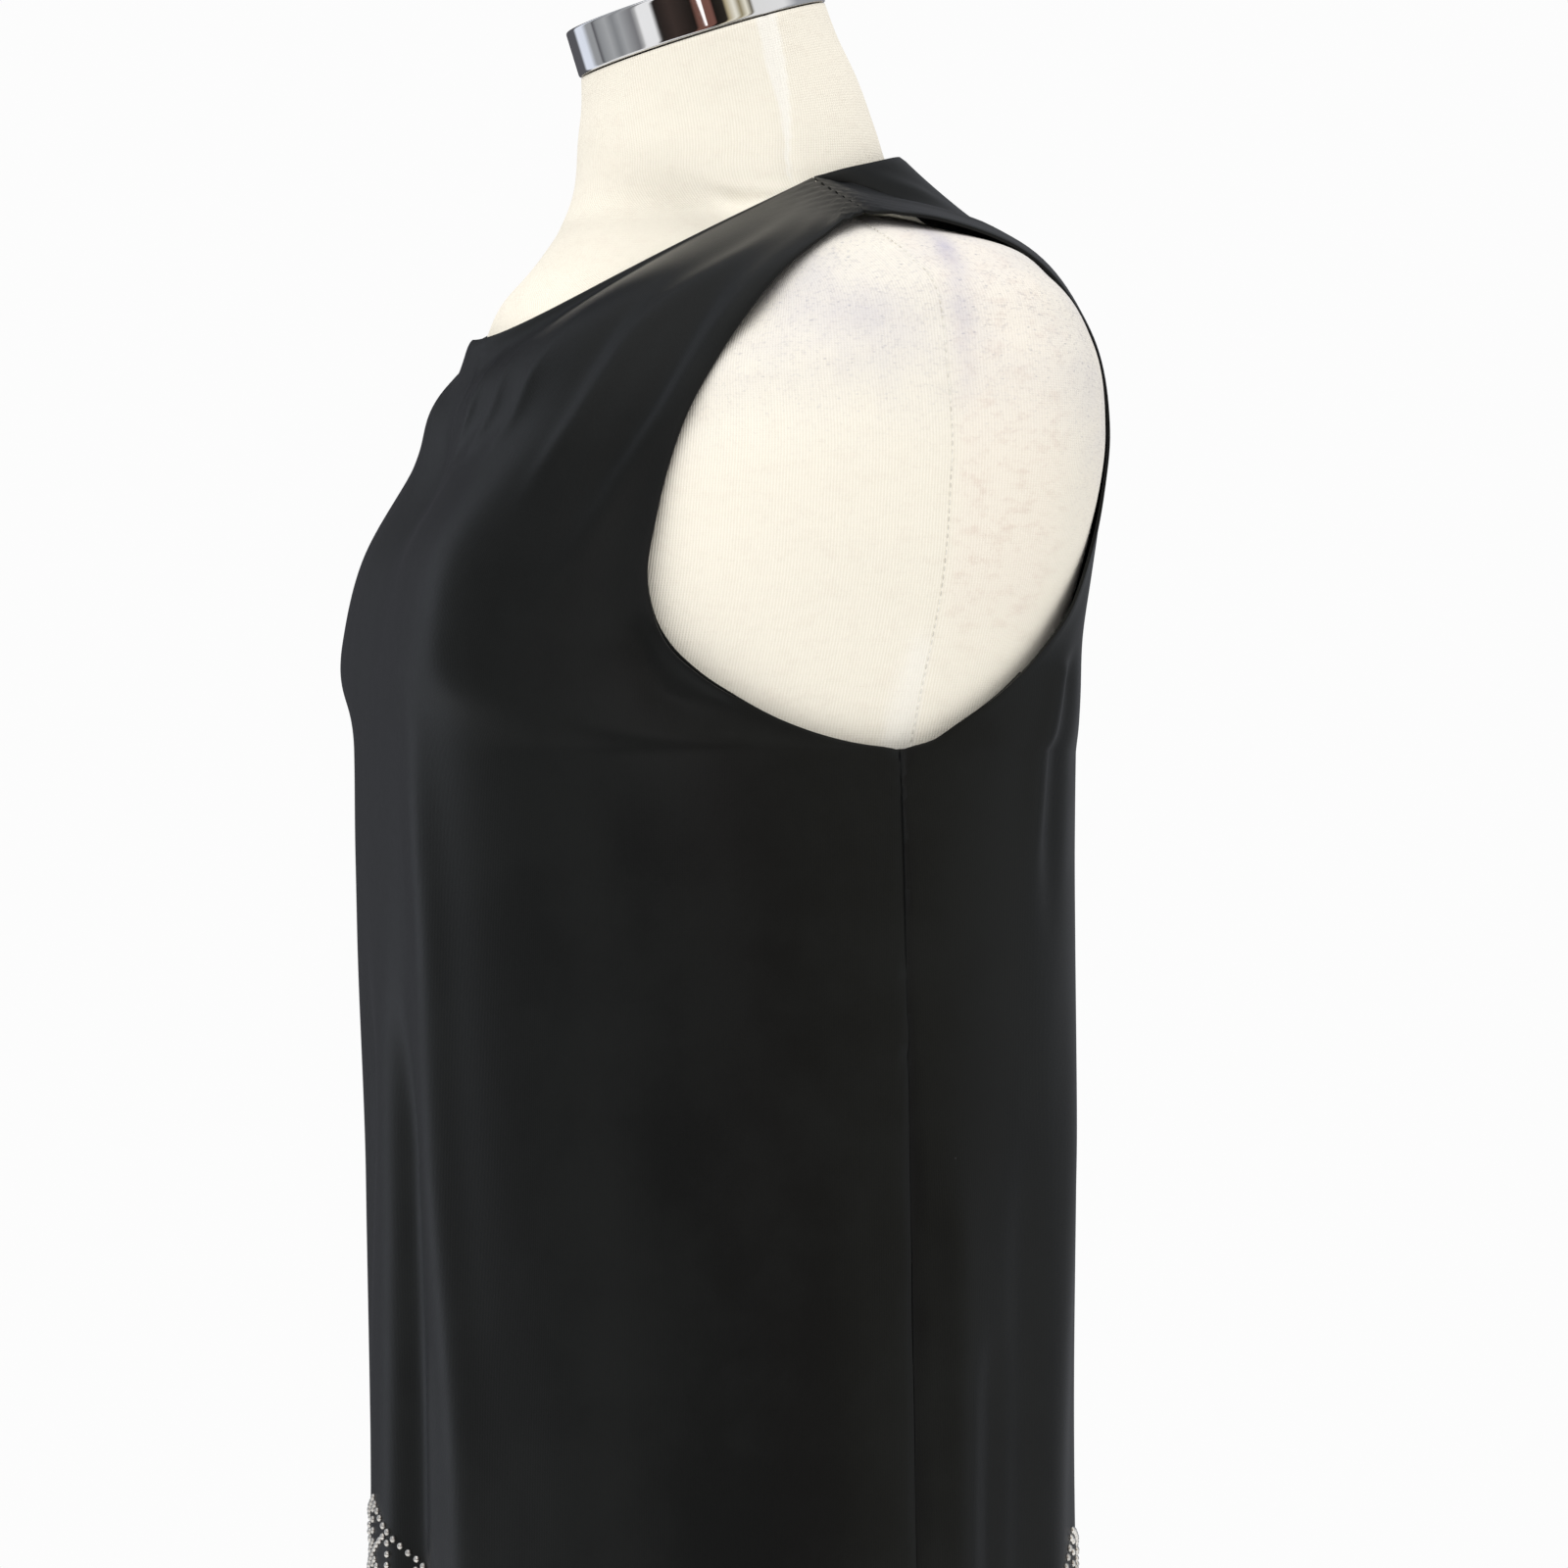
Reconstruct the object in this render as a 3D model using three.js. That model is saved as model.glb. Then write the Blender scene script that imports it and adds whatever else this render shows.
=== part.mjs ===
// A sleeveless beaded shift dress on a limbless dress form.
// Millimetres, +Z up. The front faces -Y and the wearer's left side is +X.
// The origin is the centre of the foot plate's underside.
import * as THREE from "three";

// Cloth
const WALL = 1.2; // thickness of the jersey wall
const SEAM_GAP = 0.3; // open line between two pieces that a seam joins
const HEM_Z = 450;
const SIDE_Y = 24; // side seams, seen from the side
const SHOULDER_Y = 17.5; // shoulder seams
const ARMHOLE_Z = 1161; // lowest point of each armhole
const NECK_HALF = 70; // half width of the neckline, at the shoulder seams
const NECK_FRONT = { y: -105.5, z: 1327 };
const NECK_BACK = { y: 69.5, z: 1402 };
const NECK_SIDE_Z = 1388.5;
const NECK_SQUARENESS = 0.03; // how far the neckline's diagonals stand outside an ellipse
const SHOULDER_TIP = { x: 141, z: 1368.5 };
const FACING_WIDTH = 11;
const FACING_WALL = 1.0;
const FACING_LIFT = 0.65; // extra room between a facing and the faceted cloth
const FACING_PROUD = 0.9; // how far a facing shows past the armhole's edge

// Grid of the panels. A row's level is its height up to the underarm, and from there on
// it grows by the length of the armhole's edge, up to the shoulder seam.
const HALF_COLUMNS = 17;
const TOP_LEVEL = 1471;
const ROW_LEVELS = [
  450, 490, 530, 575, 625, 680, 740, 800, 860, 930, 1000, 1060, 1105, 1138,
  1161, 1178, 1195, 1212, 1230, 1248, 1262, 1278, 1296, 1315, 1334, 1353,
  1372, 1391, 1408, 1425, 1441, 1456, 1471,
];

// Stand and neck cap
const PLATE = { radius: 190, height: 10, bevel: 2.5 };
const SOCKET = { radius: 26, height: 58, bevel: 3 };
const POLE_RADIUS = 15;
const TORSO_BOTTOM = 650;
const FIT_GAP = 0.3;
const NECK_TOP = { y: -9.5, z: 1451, lean: 17.7 };
const CAP = { radius: 52.5, height: 19, bevel: 1.6 };

const BLACK_JERSEY = { color: 0x1d1e20, roughness: 0.82, metalness: 0 };
const CREAM_KNIT = { color: 0xf2ecdc, roughness: 0.9, metalness: 0 };
const CHROME = { color: 0xc9cacc, roughness: 0.12, metalness: 1 };

const lerp = (a, b, t) => a + (b - a) * t;

// Smooth curve through values given at rising knots (a cubic with parabolic slopes).
function through(knots, values, t) {
  const last = knots.length - 1;
  let i = 0;
  while (i < last - 1 && t > knots[i + 1]) i += 1;
  const chord = (k) => (values[k + 1] - values[k]) / (knots[k + 1] - knots[k]);
  const slope = (k) => {
    if (k === 0) return chord(0);
    if (k === last) return chord(last - 1);
    const before = knots[k] - knots[k - 1];
    const after = knots[k + 1] - knots[k];
    return (chord(k - 1) * after + chord(k) * before) / (before + after);
  };
  const span = knots[i + 1] - knots[i];
  const s = (t - knots[i]) / span;
  const h00 = (1 + 2 * s) * (1 - s) * (1 - s);
  const h10 = s * (1 - s) * (1 - s);
  const h01 = s * s * (3 - 2 * s);
  const h11 = s * s * (s - 1);
  return (
    h00 * values[i] +
    h10 * span * slope(i) +
    h01 * values[i + 1] +
    h11 * span * slope(i + 1)
  );
}

const throughPoints = (knots, points, t) =>
  [0, 1, 2].map((axis) => through(knots, points.map((p) => p[axis]), t));

// Angle round the body of a column: 0 at the centre line, a quarter turn at the side seam.
const columnAngle = (u) => (Math.PI / 2) * (0.69 * u + 0.31 * u * u);

// Level section where the dress hangs free: a rounded quarter from centre line to side seam.
const hanging = ({ z, half, depth, fullness }, way) => (u) => {
  const a = columnAngle(u);
  const c = Math.cos(a);
  const s = Math.sin(a);
  const r = (Math.abs(s) ** fullness + Math.abs(c) ** fullness) ** (-1 / fullness);
  return [half * s * r, SIDE_Y + way * depth * c * r, z];
};

// Section given by its points at equal column steps, from the centre line to the armhole.
const STATIONS = [-1, -0.75, -0.5, -0.25, 0, 0.25, 0.5, 0.75, 1];
const fitted = (points) => {
  const mirrored = points.slice(1).map(([x, y, z]) => [-x, y, z]);
  const all = [...mirrored.reverse(), ...points];
  return (u) => throughPoints(STATIONS, all, u);
};

// Top edge: half the neckline, then the shoulder seam out to the armhole.
const topEdge = (neck, rise) => (u) => {
  if (u > 0.5) {
    const t = (u - 0.5) * 2;
    return [
      lerp(NECK_HALF, SHOULDER_TIP.x, t),
      SHOULDER_Y,
      lerp(NECK_SIDE_Z, SHOULDER_TIP.z, t),
    ];
  }
  const a = Math.PI * u;
  const round = 1 + NECK_SQUARENESS * Math.sin(2 * a) ** 2;
  const away = 1 - Math.cos(a) * round;
  return [
    NECK_HALF * Math.sin(a) * round,
    neck.y + (SHOULDER_Y - neck.y) * away,
    neck.z + (NECK_SIDE_Z - neck.z) * away + rise * Math.sin(2 * a) * Math.cos(a) ** 2,
  ];
};

const FRONT = {
  way: -1,
  rows: [
    [450, hanging({ z: 450, half: 199, depth: 175, fullness: 2.1 }, -1)],
    [640, hanging({ z: 640, half: 192, depth: 169, fullness: 2.15 }, -1)],
    [860, hanging({ z: 860, half: 187, depth: 167, fullness: 2.25 }, -1)],
    [1010, hanging({ z: 1010, half: 179, depth: 167, fullness: 2.5 }, -1)],
    [1161, hanging({ z: 1161, half: 167, depth: 168, fullness: 2.9 }, -1)],
    [1259, fitted([[0, -143.5, 1207], [50, -144.5, 1207], [96, -138.5, 1206],
      [131, -110, 1204], [155, -64, 1200]])],
    [1302, fitted([[0, -136.5, 1238], [47, -138, 1240], [90, -130, 1243],
      [123, -103, 1245], [148.3, -68, 1242]])],
    [1343, fitted([[0, -121, 1264], [43, -122, 1271], [81, -111.5, 1278],
      [115, -90, 1284], [147, -57, 1281.5]])],
    [1418, fitted([[0, -113, 1297], [38, -108.5, 1309], [76, -72, 1337],
      [110, -41, 1346], [144, -17, 1342.5]])],
    [TOP_LEVEL, topEdge(NECK_FRONT, -3.6)],
  ],
  armhole: [
    [1161, [167, 24, 1161]],
    [1177, [166.6, 8, 1163]],
    [1196, [165, -10, 1167.5]],
    [1221, [162, -33.5, 1177.5]],
    [1245, [158, -54, 1190.5]],
    [1259, [155, -64, 1200]],
    [1282, [150.5, -70.5, 1222]],
    [1310, [148, -66.5, 1250]],
    [1343, [147, -57, 1281.5]],
    [1381, [145.5, -40, 1312]],
    [1418, [144, -17, 1342.5]],
    [1446, [142.5, 2, 1358]],
    [TOP_LEVEL, [SHOULDER_TIP.x, SHOULDER_Y, SHOULDER_TIP.z]],
  ],
};

const BACK = {
  way: 1,
  rows: [
    [450, hanging({ z: 450, half: 199, depth: 117, fullness: 2.1 }, 1)],
    [640, hanging({ z: 640, half: 192, depth: 109, fullness: 2.1 }, 1)],
    [860, hanging({ z: 860, half: 187, depth: 100.5, fullness: 2.3 }, 1)],
    [1010, hanging({ z: 1010, half: 179, depth: 99.8, fullness: 2.6 }, 1)],
    [1161, hanging({ z: 1161, half: 167, depth: 99.5, fullness: 3 }, 1)],
    [1254, fitted([[0, 126.5, 1218], [50, 125.5, 1218], [93, 120.5, 1217],
      [127, 111, 1216], [151, 97, 1214]])],
    [1331, fitted([[0, 130, 1297], [42, 130, 1296], [77, 128.5, 1293],
      [105, 125.5, 1290], [130, 120.5, 1286]])],
    [1411, fitted([[0, 106, 1366.5], [38, 106, 1364.5], [76, 101.5, 1362],
      [106, 93.5, 1359.5], [134, 84.5, 1354.5]])],
    [TOP_LEVEL, topEdge(NECK_BACK, 1.6)],
  ],
  armhole: [
    [1161, [167, 24, 1161]],
    [1173, [166.4, 36, 1164]],
    [1187, [165, 48, 1171]],
    [1209, [161.5, 66, 1183]],
    [1231, [157, 82, 1197]],
    [1254, [151, 97, 1214]],
    [1279, [142.5, 108.5, 1236.5]],
    [1307, [134, 117, 1263]],
    [1331, [130, 120.5, 1286]],
    [1370, [129, 113.5, 1323]],
    [1411, [134, 84.5, 1354.5]],
    [1441, [139.5, 50.5, 1365.5]],
    [TOP_LEVEL, [SHOULDER_TIP.x, SHOULDER_Y, SHOULDER_TIP.z]],
  ],
};

const smooth = (t) => t * t * (3 - 2 * t);

// Point of a panel's middle surface on the wearer's left half (u from 0 to 1) at a level.
function halfPoint(panel, u, level) {
  const knots = panel.rows.map((row) => row[0]);
  const at = (column) => throughPoints(knots, panel.rows.map((row) => row[1](column)), level);
  const p = at(u);
  if (level <= ARMHOLE_Z) return p;
  const edge = throughPoints(
    panel.armhole.map((e) => e[0]),
    panel.armhole.map((e) => e[1]),
    level,
  );
  const loose = at(1);
  const share = smooth(Math.max(0, (u - 0.35) / 0.65));
  return p.map((value, axis) => value + (edge[axis] - loose[axis]) * share);
}

// Soft folds of the hanging skirt, deepest at the hem: turns round the body, phase, depth.
const FOLDS = [
  { turns: 9, phase: 0.6, depth: 3.6 },
  { turns: 5, phase: 2.1, depth: 3.0 },
];

function foldDepth(point) {
  const [x, y, z] = point;
  const down = Math.min(1, Math.max(0, (1120 - z) / (1120 - HEM_Z)));
  const turn = Math.atan2(x, -(y - SIDE_Y));
  const seam = 1 - Math.exp(-(((Math.abs(turn) - Math.PI / 2) / 0.12) ** 2));
  return FOLDS.reduce(
    (sum, f) => sum + f.depth * down * seam * Math.sin(f.turns * turn + f.phase),
    0,
  );
}

function panelPoint(panel, u, level) {
  const side = u < 0 ? -1 : 1;
  const p = halfPoint(panel, Math.abs(u), level);
  p[0] *= side;
  const flat = Math.hypot(p[0], p[1] - SIDE_Y);
  const out = foldDepth(p);
  return new THREE.Vector3(
    p[0] + (out * p[0]) / flat,
    p[1] + (out * (p[1] - SIDE_Y)) / flat,
    p[2],
  );
}

// Outward normal of the middle surface.
function panelNormal(panel, u, level) {
  const du = 0.004;
  const dv = 0.4;
  const across = panelPoint(panel, Math.min(1, u + du), level).sub(
    panelPoint(panel, Math.max(-1, u - du), level),
  );
  const low = Math.max(HEM_Z, level - dv);
  const up = panelPoint(panel, u, Math.min(TOP_LEVEL, level + dv)).sub(
    panelPoint(panel, u, low),
  );
  return across.cross(up).multiplyScalar(-panel.way).normalize();
}

// Closed wall between two grids of points with the same rows and columns.
function wallGeometry(outer, inner) {
  const rows = outer.length;
  const columns = outer[0].length;
  const top = rows - 1;
  const end = columns - 1;
  const positions = [...outer.flat(), ...inner.flat()].flatMap((p) => [p.x, p.y, p.z]);
  const id = (side, i, j) => side * rows * columns + i * columns + j;
  const index = [];
  const quad = (a, b, c, d) => index.push(a, b, c, a, c, d);
  for (let i = 0; i < top; i += 1)
    for (let j = 0; j < end; j += 1) {
      quad(id(0, i, j), id(0, i, j + 1), id(0, i + 1, j + 1), id(0, i + 1, j));
      quad(id(1, i, j), id(1, i + 1, j), id(1, i + 1, j + 1), id(1, i, j + 1));
    }
  for (let j = 0; j < end; j += 1) {
    quad(id(1, 0, j), id(1, 0, j + 1), id(0, 0, j + 1), id(0, 0, j));
    quad(id(0, top, j), id(0, top, j + 1), id(1, top, j + 1), id(1, top, j));
  }
  for (let i = 0; i < top; i += 1) {
    quad(id(0, i, 0), id(0, i + 1, 0), id(1, i + 1, 0), id(1, i, 0));
    quad(id(1, i, end), id(1, i + 1, end), id(0, i + 1, end), id(0, i, end));
  }
  const geometry = new THREE.BufferGeometry();
  geometry.setAttribute("position", new THREE.Float32BufferAttribute(positions, 3));
  geometry.setIndex(index);
  geometry.computeVertexNormals();
  return geometry;
}

// Each panel keeps half the seam gap clear on its side of the side and shoulder seams.
function trimmed(panel, point) {
  const limit = (seam) => seam + (panel.way * SEAM_GAP) / 2;
  const onSide = point.z < ARMHOLE_Z + 0.5;
  const seam = onSide ? SIDE_Y : SHOULDER_Y;
  const nearTop = point.z > SHOULDER_TIP.z - 8;
  if (!onSide && !nearTop) return point;
  if (panel.way < 0) point.y = Math.min(point.y, limit(seam));
  else point.y = Math.max(point.y, limit(seam));
  return point;
}

function panelGeometry(panel) {
  const sides = [WALL / 2, -WALL / 2].map((offset) =>
    ROW_LEVELS.map((level) =>
      Array.from({ length: 2 * HALF_COLUMNS + 1 }, (_, j) => {
        const u = -panel.way * (j / HALF_COLUMNS - 1);
        const point = panelPoint(panel, u, level);
        point.addScaledVector(panelNormal(panel, u, level), offset);
        return trimmed(panel, point);
      }),
    ),
  );
  return wallGeometry(sides[0], sides[1]);
}

// Facing: a strip that follows the armhole's edge just inside the cloth.
const FACING_FRONT_LEVELS = [1296, 1282, 1270, 1259, 1247, 1234, 1221, 1207, 1192, 1177];
const FACING_BACK_LEVELS = [1161, 1174, 1187, 1200, 1212, 1224];

// Nearest point of a panel's middle surface to a target: its column and level.
function nearestOnPanel(panel, target, start) {
  const dv = 0.5;
  let [u, level] = start;
  for (let step = 0; step < 12; step += 1) {
    const du = 0.002 * Math.sign(u);
    const p = panelPoint(panel, u, level);
    const across = panelPoint(panel, u - du, level).sub(p);
    const down = panelPoint(panel, u, level - dv).sub(p);
    const miss = target.clone().sub(p);
    const aa = across.dot(across);
    const dd = down.dot(down);
    const ad = across.dot(down);
    const ma = miss.dot(across);
    const md = miss.dot(down);
    const det = aa * dd - ad * ad;
    const moveAcross = (ma * dd - md * ad) / det;
    const moveDown = (md * aa - ma * ad) / det;
    u = THREE.MathUtils.clamp(u - du * moveAcross, -1, 1);
    level = THREE.MathUtils.clamp(level - dv * moveDown, HEM_Z, TOP_LEVEL);
  }
  return [u, level];
}

function facingGeometry(side) {
  const steps = [
    ...FACING_FRONT_LEVELS.map((level) => [FRONT, level]),
    ...FACING_BACK_LEVELS.map((level) => [BACK, level]),
  ];
  const edge = steps.map(([panel, level]) => panelPoint(panel, side, level));
  const across = [-FACING_PROUD, FACING_WIDTH * 0.3, FACING_WIDTH * 0.65, FACING_WIDTH];
  const lay = -(WALL / 2 + SEAM_GAP + FACING_LIFT + FACING_WALL / 2);
  const places = steps.map(([panel, level], i) => {
    const before = edge[Math.max(0, i - 1)];
    const after = edge[Math.min(edge.length - 1, i + 1)];
    const along = after.clone().sub(before).normalize();
    const edgeNormal = panelNormal(panel, side * 0.995, level);
    const into = along.clone().cross(edgeNormal).multiplyScalar(side).normalize();
    return across.map((w) => {
      const target = edge[i].clone().addScaledVector(into, w);
      if (w < 0) return { at: target, normal: edgeNormal };
      const home = target.z < ARMHOLE_Z && target.y > SIDE_Y ? BACK : panel;
      const [u, near] = nearestOnPanel(home, target, [side * 0.99, level - 1]);
      return { at: panelPoint(home, u, near), normal: panelNormal(home, u, near) };
    });
  });
  const layer = (offset) =>
    places.map((row) =>
      row.map(({ at, normal }) => at.clone().addScaledVector(normal, lay + offset)),
    );
  const outer = layer(FACING_WALL / 2);
  const inner = layer(-FACING_WALL / 2);
  return side > 0 ? wallGeometry(outer, inner) : wallGeometry(inner, outer);
}

// Dress form: level rings, each two rounded halves that meet at the sides.
const TORSO_RINGS = [
  { z: 650, half: 146, front: -90, back: 98, side: 18, hollowFront: -0.03, hollowBack: -0.04 },
  { z: 760, half: 159, front: -104, back: 105, side: 20, hollowFront: -0.03, hollowBack: -0.04 },
  { z: 860, half: 163, front: -107, back: 107, side: 22, hollowFront: -0.03, hollowBack: -0.04 },
  { z: 950, half: 151, front: -99, back: 101, side: 22, hollowFront: -0.03, hollowBack: -0.03 },
  { z: 1030, half: 132, front: -88, back: 88, side: 22, hollowFront: -0.03, hollowBack: -0.03 },
  { z: 1100, half: 143, front: -104, back: 100, side: 23, hollowFront: -0.03, hollowBack: -0.04 },
  { z: 1161, half: 158.5, front: -122, back: 115, side: 25, hollowFront: -0.04,
    hollowBack: -0.05 },
  { z: 1206, half: 170, front: -128, back: 121, side: 30, hollowFront: -0.04,
    hollowBack: -0.08 },
  { z: 1245, half: 181, front: -122, back: 124, side: 34, hollowFront: -0.015,
    hollowBack: -0.13 },
  { z: 1285, half: 188, front: -110.5, back: 125, side: 37, hollowFront: 0.02,
    hollowBack: -0.165 },
  { z: 1318, half: 185, front: -101, back: 119, side: 36, hollowFront: 0.1,
    hollowBack: -0.175, skew: 0.3 },
  { z: 1343, half: 173, front: -91.5, back: 108, side: 33, hollowFront: 0.31,
    hollowBack: -0.145, skew: 0.5 },
  { z: 1358, half: 150, front: -78, back: 99, side: 28, hollowFront: 0.36,
    hollowBack: -0.09, skew: 0.2 },
  { z: 1368, half: 116, front: -70.5, back: 91, side: 22, hollowFront: 0.37,
    hollowBack: 0.05, skew: -0.2 },
  { z: 1377, half: 70.5, front: -65.5, back: 82, side: 16, hollowFront: 0.16,
    hollowBack: 0.04, skew: -0.5 },
  { z: 1385, half: 63, front: -63, back: 74.5, side: 9, hollowFront: 0.06, hollowBack: 0.02 },
  { z: 1394, half: 60, front: -61.8, back: 67.5, side: 5, hollowFront: 0.03, lean: 4 },
  { z: 1406, half: 57, front: -61.5, back: 62.5, side: 3, lean: 8 },
  { z: 1424, half: 53.5, front: -61.8, back: 55, side: -1.5, lean: 13 },
  { z: 1439, half: 52.3, front: -61, back: 47.2, side: -5.8, lean: 16 },
  { z: 1450.7, half: 52, front: -61.3, back: 42.6, side: -9.35, lean: 17.7 },
];
const TORSO_SEGMENTS = 56;
const TORSO_LEVELS = [
  650, 700, 760, 815, 870, 920, 970, 1015, 1060, 1105, 1140, 1170, 1195, 1220,
  1245, 1268, 1290, 1308, 1324, 1337, 1348, 1357, 1364.5, 1371, 1377, 1382.5,
  1388, 1394, 1401, 1410, 1422, 1436, 1450.7,
];

// Point of the torso's skin. A hollow draws in the diagonals of a ring, and its skew moves
// the deepest place towards the front (above 0) or towards the shoulder (below 0).
function torsoPoint(z, turn) {
  const knots = TORSO_RINGS.map((ring) => ring.z);
  const size = (key) => through(knots, TORSO_RINGS.map((ring) => ring[key] ?? 0), z);
  const s = Math.sin(turn);
  const c = Math.cos(turn);
  const isFront = c > 0;
  const hollow = size(isFront ? "hollowFront" : "hollowBack");
  const skew = isFront ? size("skew") : 0;
  const r = 1 - hollow * Math.sin(2 * turn) ** 2 * (1 + skew * Math.cos(2 * turn));
  const side = size("side");
  const depth = isFront ? side - size("front") : size("back") - side;
  const lean = THREE.MathUtils.degToRad(size("lean"));
  const forward = -depth * c * r;
  return new THREE.Vector3(
    size("half") * s * r,
    side + forward * Math.cos(lean),
    z + forward * Math.sin(lean),
  );
}

function torsoGeometry() {
  const positions = [];
  TORSO_LEVELS.forEach((z) => {
    for (let j = 0; j < TORSO_SEGMENTS; j += 1) {
      const p = torsoPoint(z, (2 * Math.PI * j) / TORSO_SEGMENTS);
      positions.push(p.x, p.y, p.z);
    }
  });
  const index = [];
  const id = (i, j) => i * TORSO_SEGMENTS + (j % TORSO_SEGMENTS);
  for (let i = 0; i < TORSO_LEVELS.length - 1; i += 1)
    for (let j = 0; j < TORSO_SEGMENTS; j += 1)
      index.push(
        id(i, j), id(i, j + 1), id(i + 1, j + 1),
        id(i, j), id(i + 1, j + 1), id(i + 1, j),
      );
  const top = TORSO_LEVELS.length - 1;
  for (let j = 1; j < TORSO_SEGMENTS - 1; j += 1) {
    index.push(id(0, 0), id(0, j + 1), id(0, j));
    index.push(id(top, 0), id(top, j), id(top, j + 1));
  }
  const geometry = new THREE.BufferGeometry();
  geometry.setAttribute("position", new THREE.Float32BufferAttribute(positions, 3));
  geometry.setIndex(index);
  geometry.computeVertexNormals();
  return geometry;
}

// Disc or drum round the Z axis, from z = 0 up, with bevelled rims.
function drumGeometry({ radius, height, bevel }, segments = 64) {
  const profile = [
    [0, 0],
    [radius - bevel * 0.4, 0],
    [radius, bevel * 0.4],
    [radius, height - bevel],
    [radius - bevel, height],
    [0, height],
  ].map(([r, z]) => new THREE.Vector2(r, z));
  return new THREE.LatheGeometry(profile, segments).rotateX(Math.PI / 2);
}

function piece(name, geometry, finish) {
  const mesh = new THREE.Mesh(geometry, new THREE.MeshStandardMaterial(finish));
  mesh.name = name;
  return mesh;
}

function neckCap() {
  const mesh = piece("neck_cap", drumGeometry(CAP, 72), CHROME);
  const lean = THREE.MathUtils.degToRad(NECK_TOP.lean);
  mesh.rotation.x = lean;
  const y = NECK_TOP.y - FIT_GAP * Math.sin(lean);
  mesh.position.set(0, y, NECK_TOP.z + FIT_GAP * Math.cos(lean));
  return mesh;
}

function stand() {
  const group = new THREE.Group();
  const socket = piece("stand_socket", drumGeometry(SOCKET, 48), CHROME);
  socket.position.z = PLATE.height + FIT_GAP;
  const poleBottom = socket.position.z + SOCKET.height + FIT_GAP;
  const poleHeight = TORSO_BOTTOM - FIT_GAP - poleBottom;
  const pole = piece(
    "stand_pole",
    drumGeometry({ radius: POLE_RADIUS, height: poleHeight, bevel: 0.6 }, 32),
    CHROME,
  );
  pole.position.z = poleBottom;
  group.add(piece("base_plate", drumGeometry(PLATE, 96), CHROME), socket, pole);
  return group;
}

const object = new THREE.Group();
object.name = "beaded_shift_dress_on_form";
object.add(
  piece("front_panel", panelGeometry(FRONT), BLACK_JERSEY),
  piece("back_panel", panelGeometry(BACK), BLACK_JERSEY),
  piece("armhole_facing_left", facingGeometry(1), BLACK_JERSEY),
  piece("armhole_facing_right", facingGeometry(-1), BLACK_JERSEY),
  piece("form_torso", torsoGeometry(), CREAM_KNIT),
  neckCap(),
  stand(),
);

export default object;
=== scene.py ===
"""A sleeveless beaded shift dress on a limbless dress form, finished round the CAD frame.

Tables of sections and paths are in millimetres, as a cutter writes them. Meshes are in metres.
The front faces -Y, the wearer's left side is +X, and the floor is z = 0.
"""
import math

import bmesh
import bpy
import numpy as np
from mathutils import Matrix, Vector


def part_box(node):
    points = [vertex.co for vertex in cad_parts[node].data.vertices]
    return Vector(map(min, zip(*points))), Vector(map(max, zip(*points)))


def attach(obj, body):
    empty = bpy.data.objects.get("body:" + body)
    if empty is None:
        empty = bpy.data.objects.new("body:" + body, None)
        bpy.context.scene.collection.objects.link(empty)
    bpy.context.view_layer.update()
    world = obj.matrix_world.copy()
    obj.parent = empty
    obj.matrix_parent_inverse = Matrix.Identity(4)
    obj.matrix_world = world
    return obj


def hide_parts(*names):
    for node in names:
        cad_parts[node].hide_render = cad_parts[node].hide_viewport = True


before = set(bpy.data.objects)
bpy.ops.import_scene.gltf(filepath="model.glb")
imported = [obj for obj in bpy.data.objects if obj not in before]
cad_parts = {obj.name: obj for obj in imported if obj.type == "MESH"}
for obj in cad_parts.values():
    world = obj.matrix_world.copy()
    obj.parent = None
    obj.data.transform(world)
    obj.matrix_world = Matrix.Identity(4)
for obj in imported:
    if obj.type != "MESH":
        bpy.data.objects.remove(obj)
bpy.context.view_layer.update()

bl_info = {
    "name": "Beaded Shift Dress on a Form",
    "version": (1, 0, 0),
    "blender": (4, 5, 0),
    "location": "View3D > Sidebar > Dress",
    "description": "Builds a beaded jersey shift dress on a padded dress form with its stand",
    "category": "Add Mesh",
}

MM = 0.001

# ---------------------------------------------------------------- cut of the dress (mm)

HEM_Z = round(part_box("front_panel")[0].z / MM)
ARMHOLE_Z = 1161
TOP_LEVEL = 1471
SIDE_Y = 24
SHOULDER_Y = 17.5
SEAM_GAP = 0.3
NECK_HALF = 70
NECK_SIDE_Z = 1388.5
NECK_SQUARENESS = 0.03
SHOULDER_TIP = (141, SHOULDER_Y, 1368.5)
UPPER_LEVEL = 840  # rows of the cloth's grid are closer together from here up


def through(knots, values, t):
    """Smooth curve through the values given at rising knots (a cubic with parabolic slopes)."""
    knots = np.asarray(knots, float)
    values = np.asarray(values, float)
    t = np.atleast_1d(np.asarray(t, float))
    gap = np.diff(knots).reshape((-1,) + (1,) * (values.ndim - 1))
    chord = np.diff(values, axis=0) / gap
    inner = (chord[:-1] * gap[1:] + chord[1:] * gap[:-1]) / (gap[:-1] + gap[1:])
    slope = np.concatenate([chord[:1], inner, chord[-1:]])
    i = np.clip(np.searchsorted(knots, t, side="right") - 1, 0, len(knots) - 2)
    span = gap[i]
    s = (t - knots[i]).reshape((-1,) + (1,) * (values.ndim - 1)) / span
    start = (1 + 2 * s) * (1 - s) ** 2 * values[i] + s * (1 - s) ** 2 * span * slope[i]
    end = s * s * (3 - 2 * s) * values[i + 1] + s * s * (s - 1) * span * slope[i + 1]
    return start + end


def smooth(t):
    """Soft step from 0 to 1."""
    t = np.clip(t, 0, 1)
    return t * t * (3 - 2 * t)


def column_angle(u):
    """Angle round the body of a column: 0 at the centre line, a quarter turn at the side."""
    return (math.pi / 2) * (0.69 * u + 0.31 * u * u)


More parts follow.
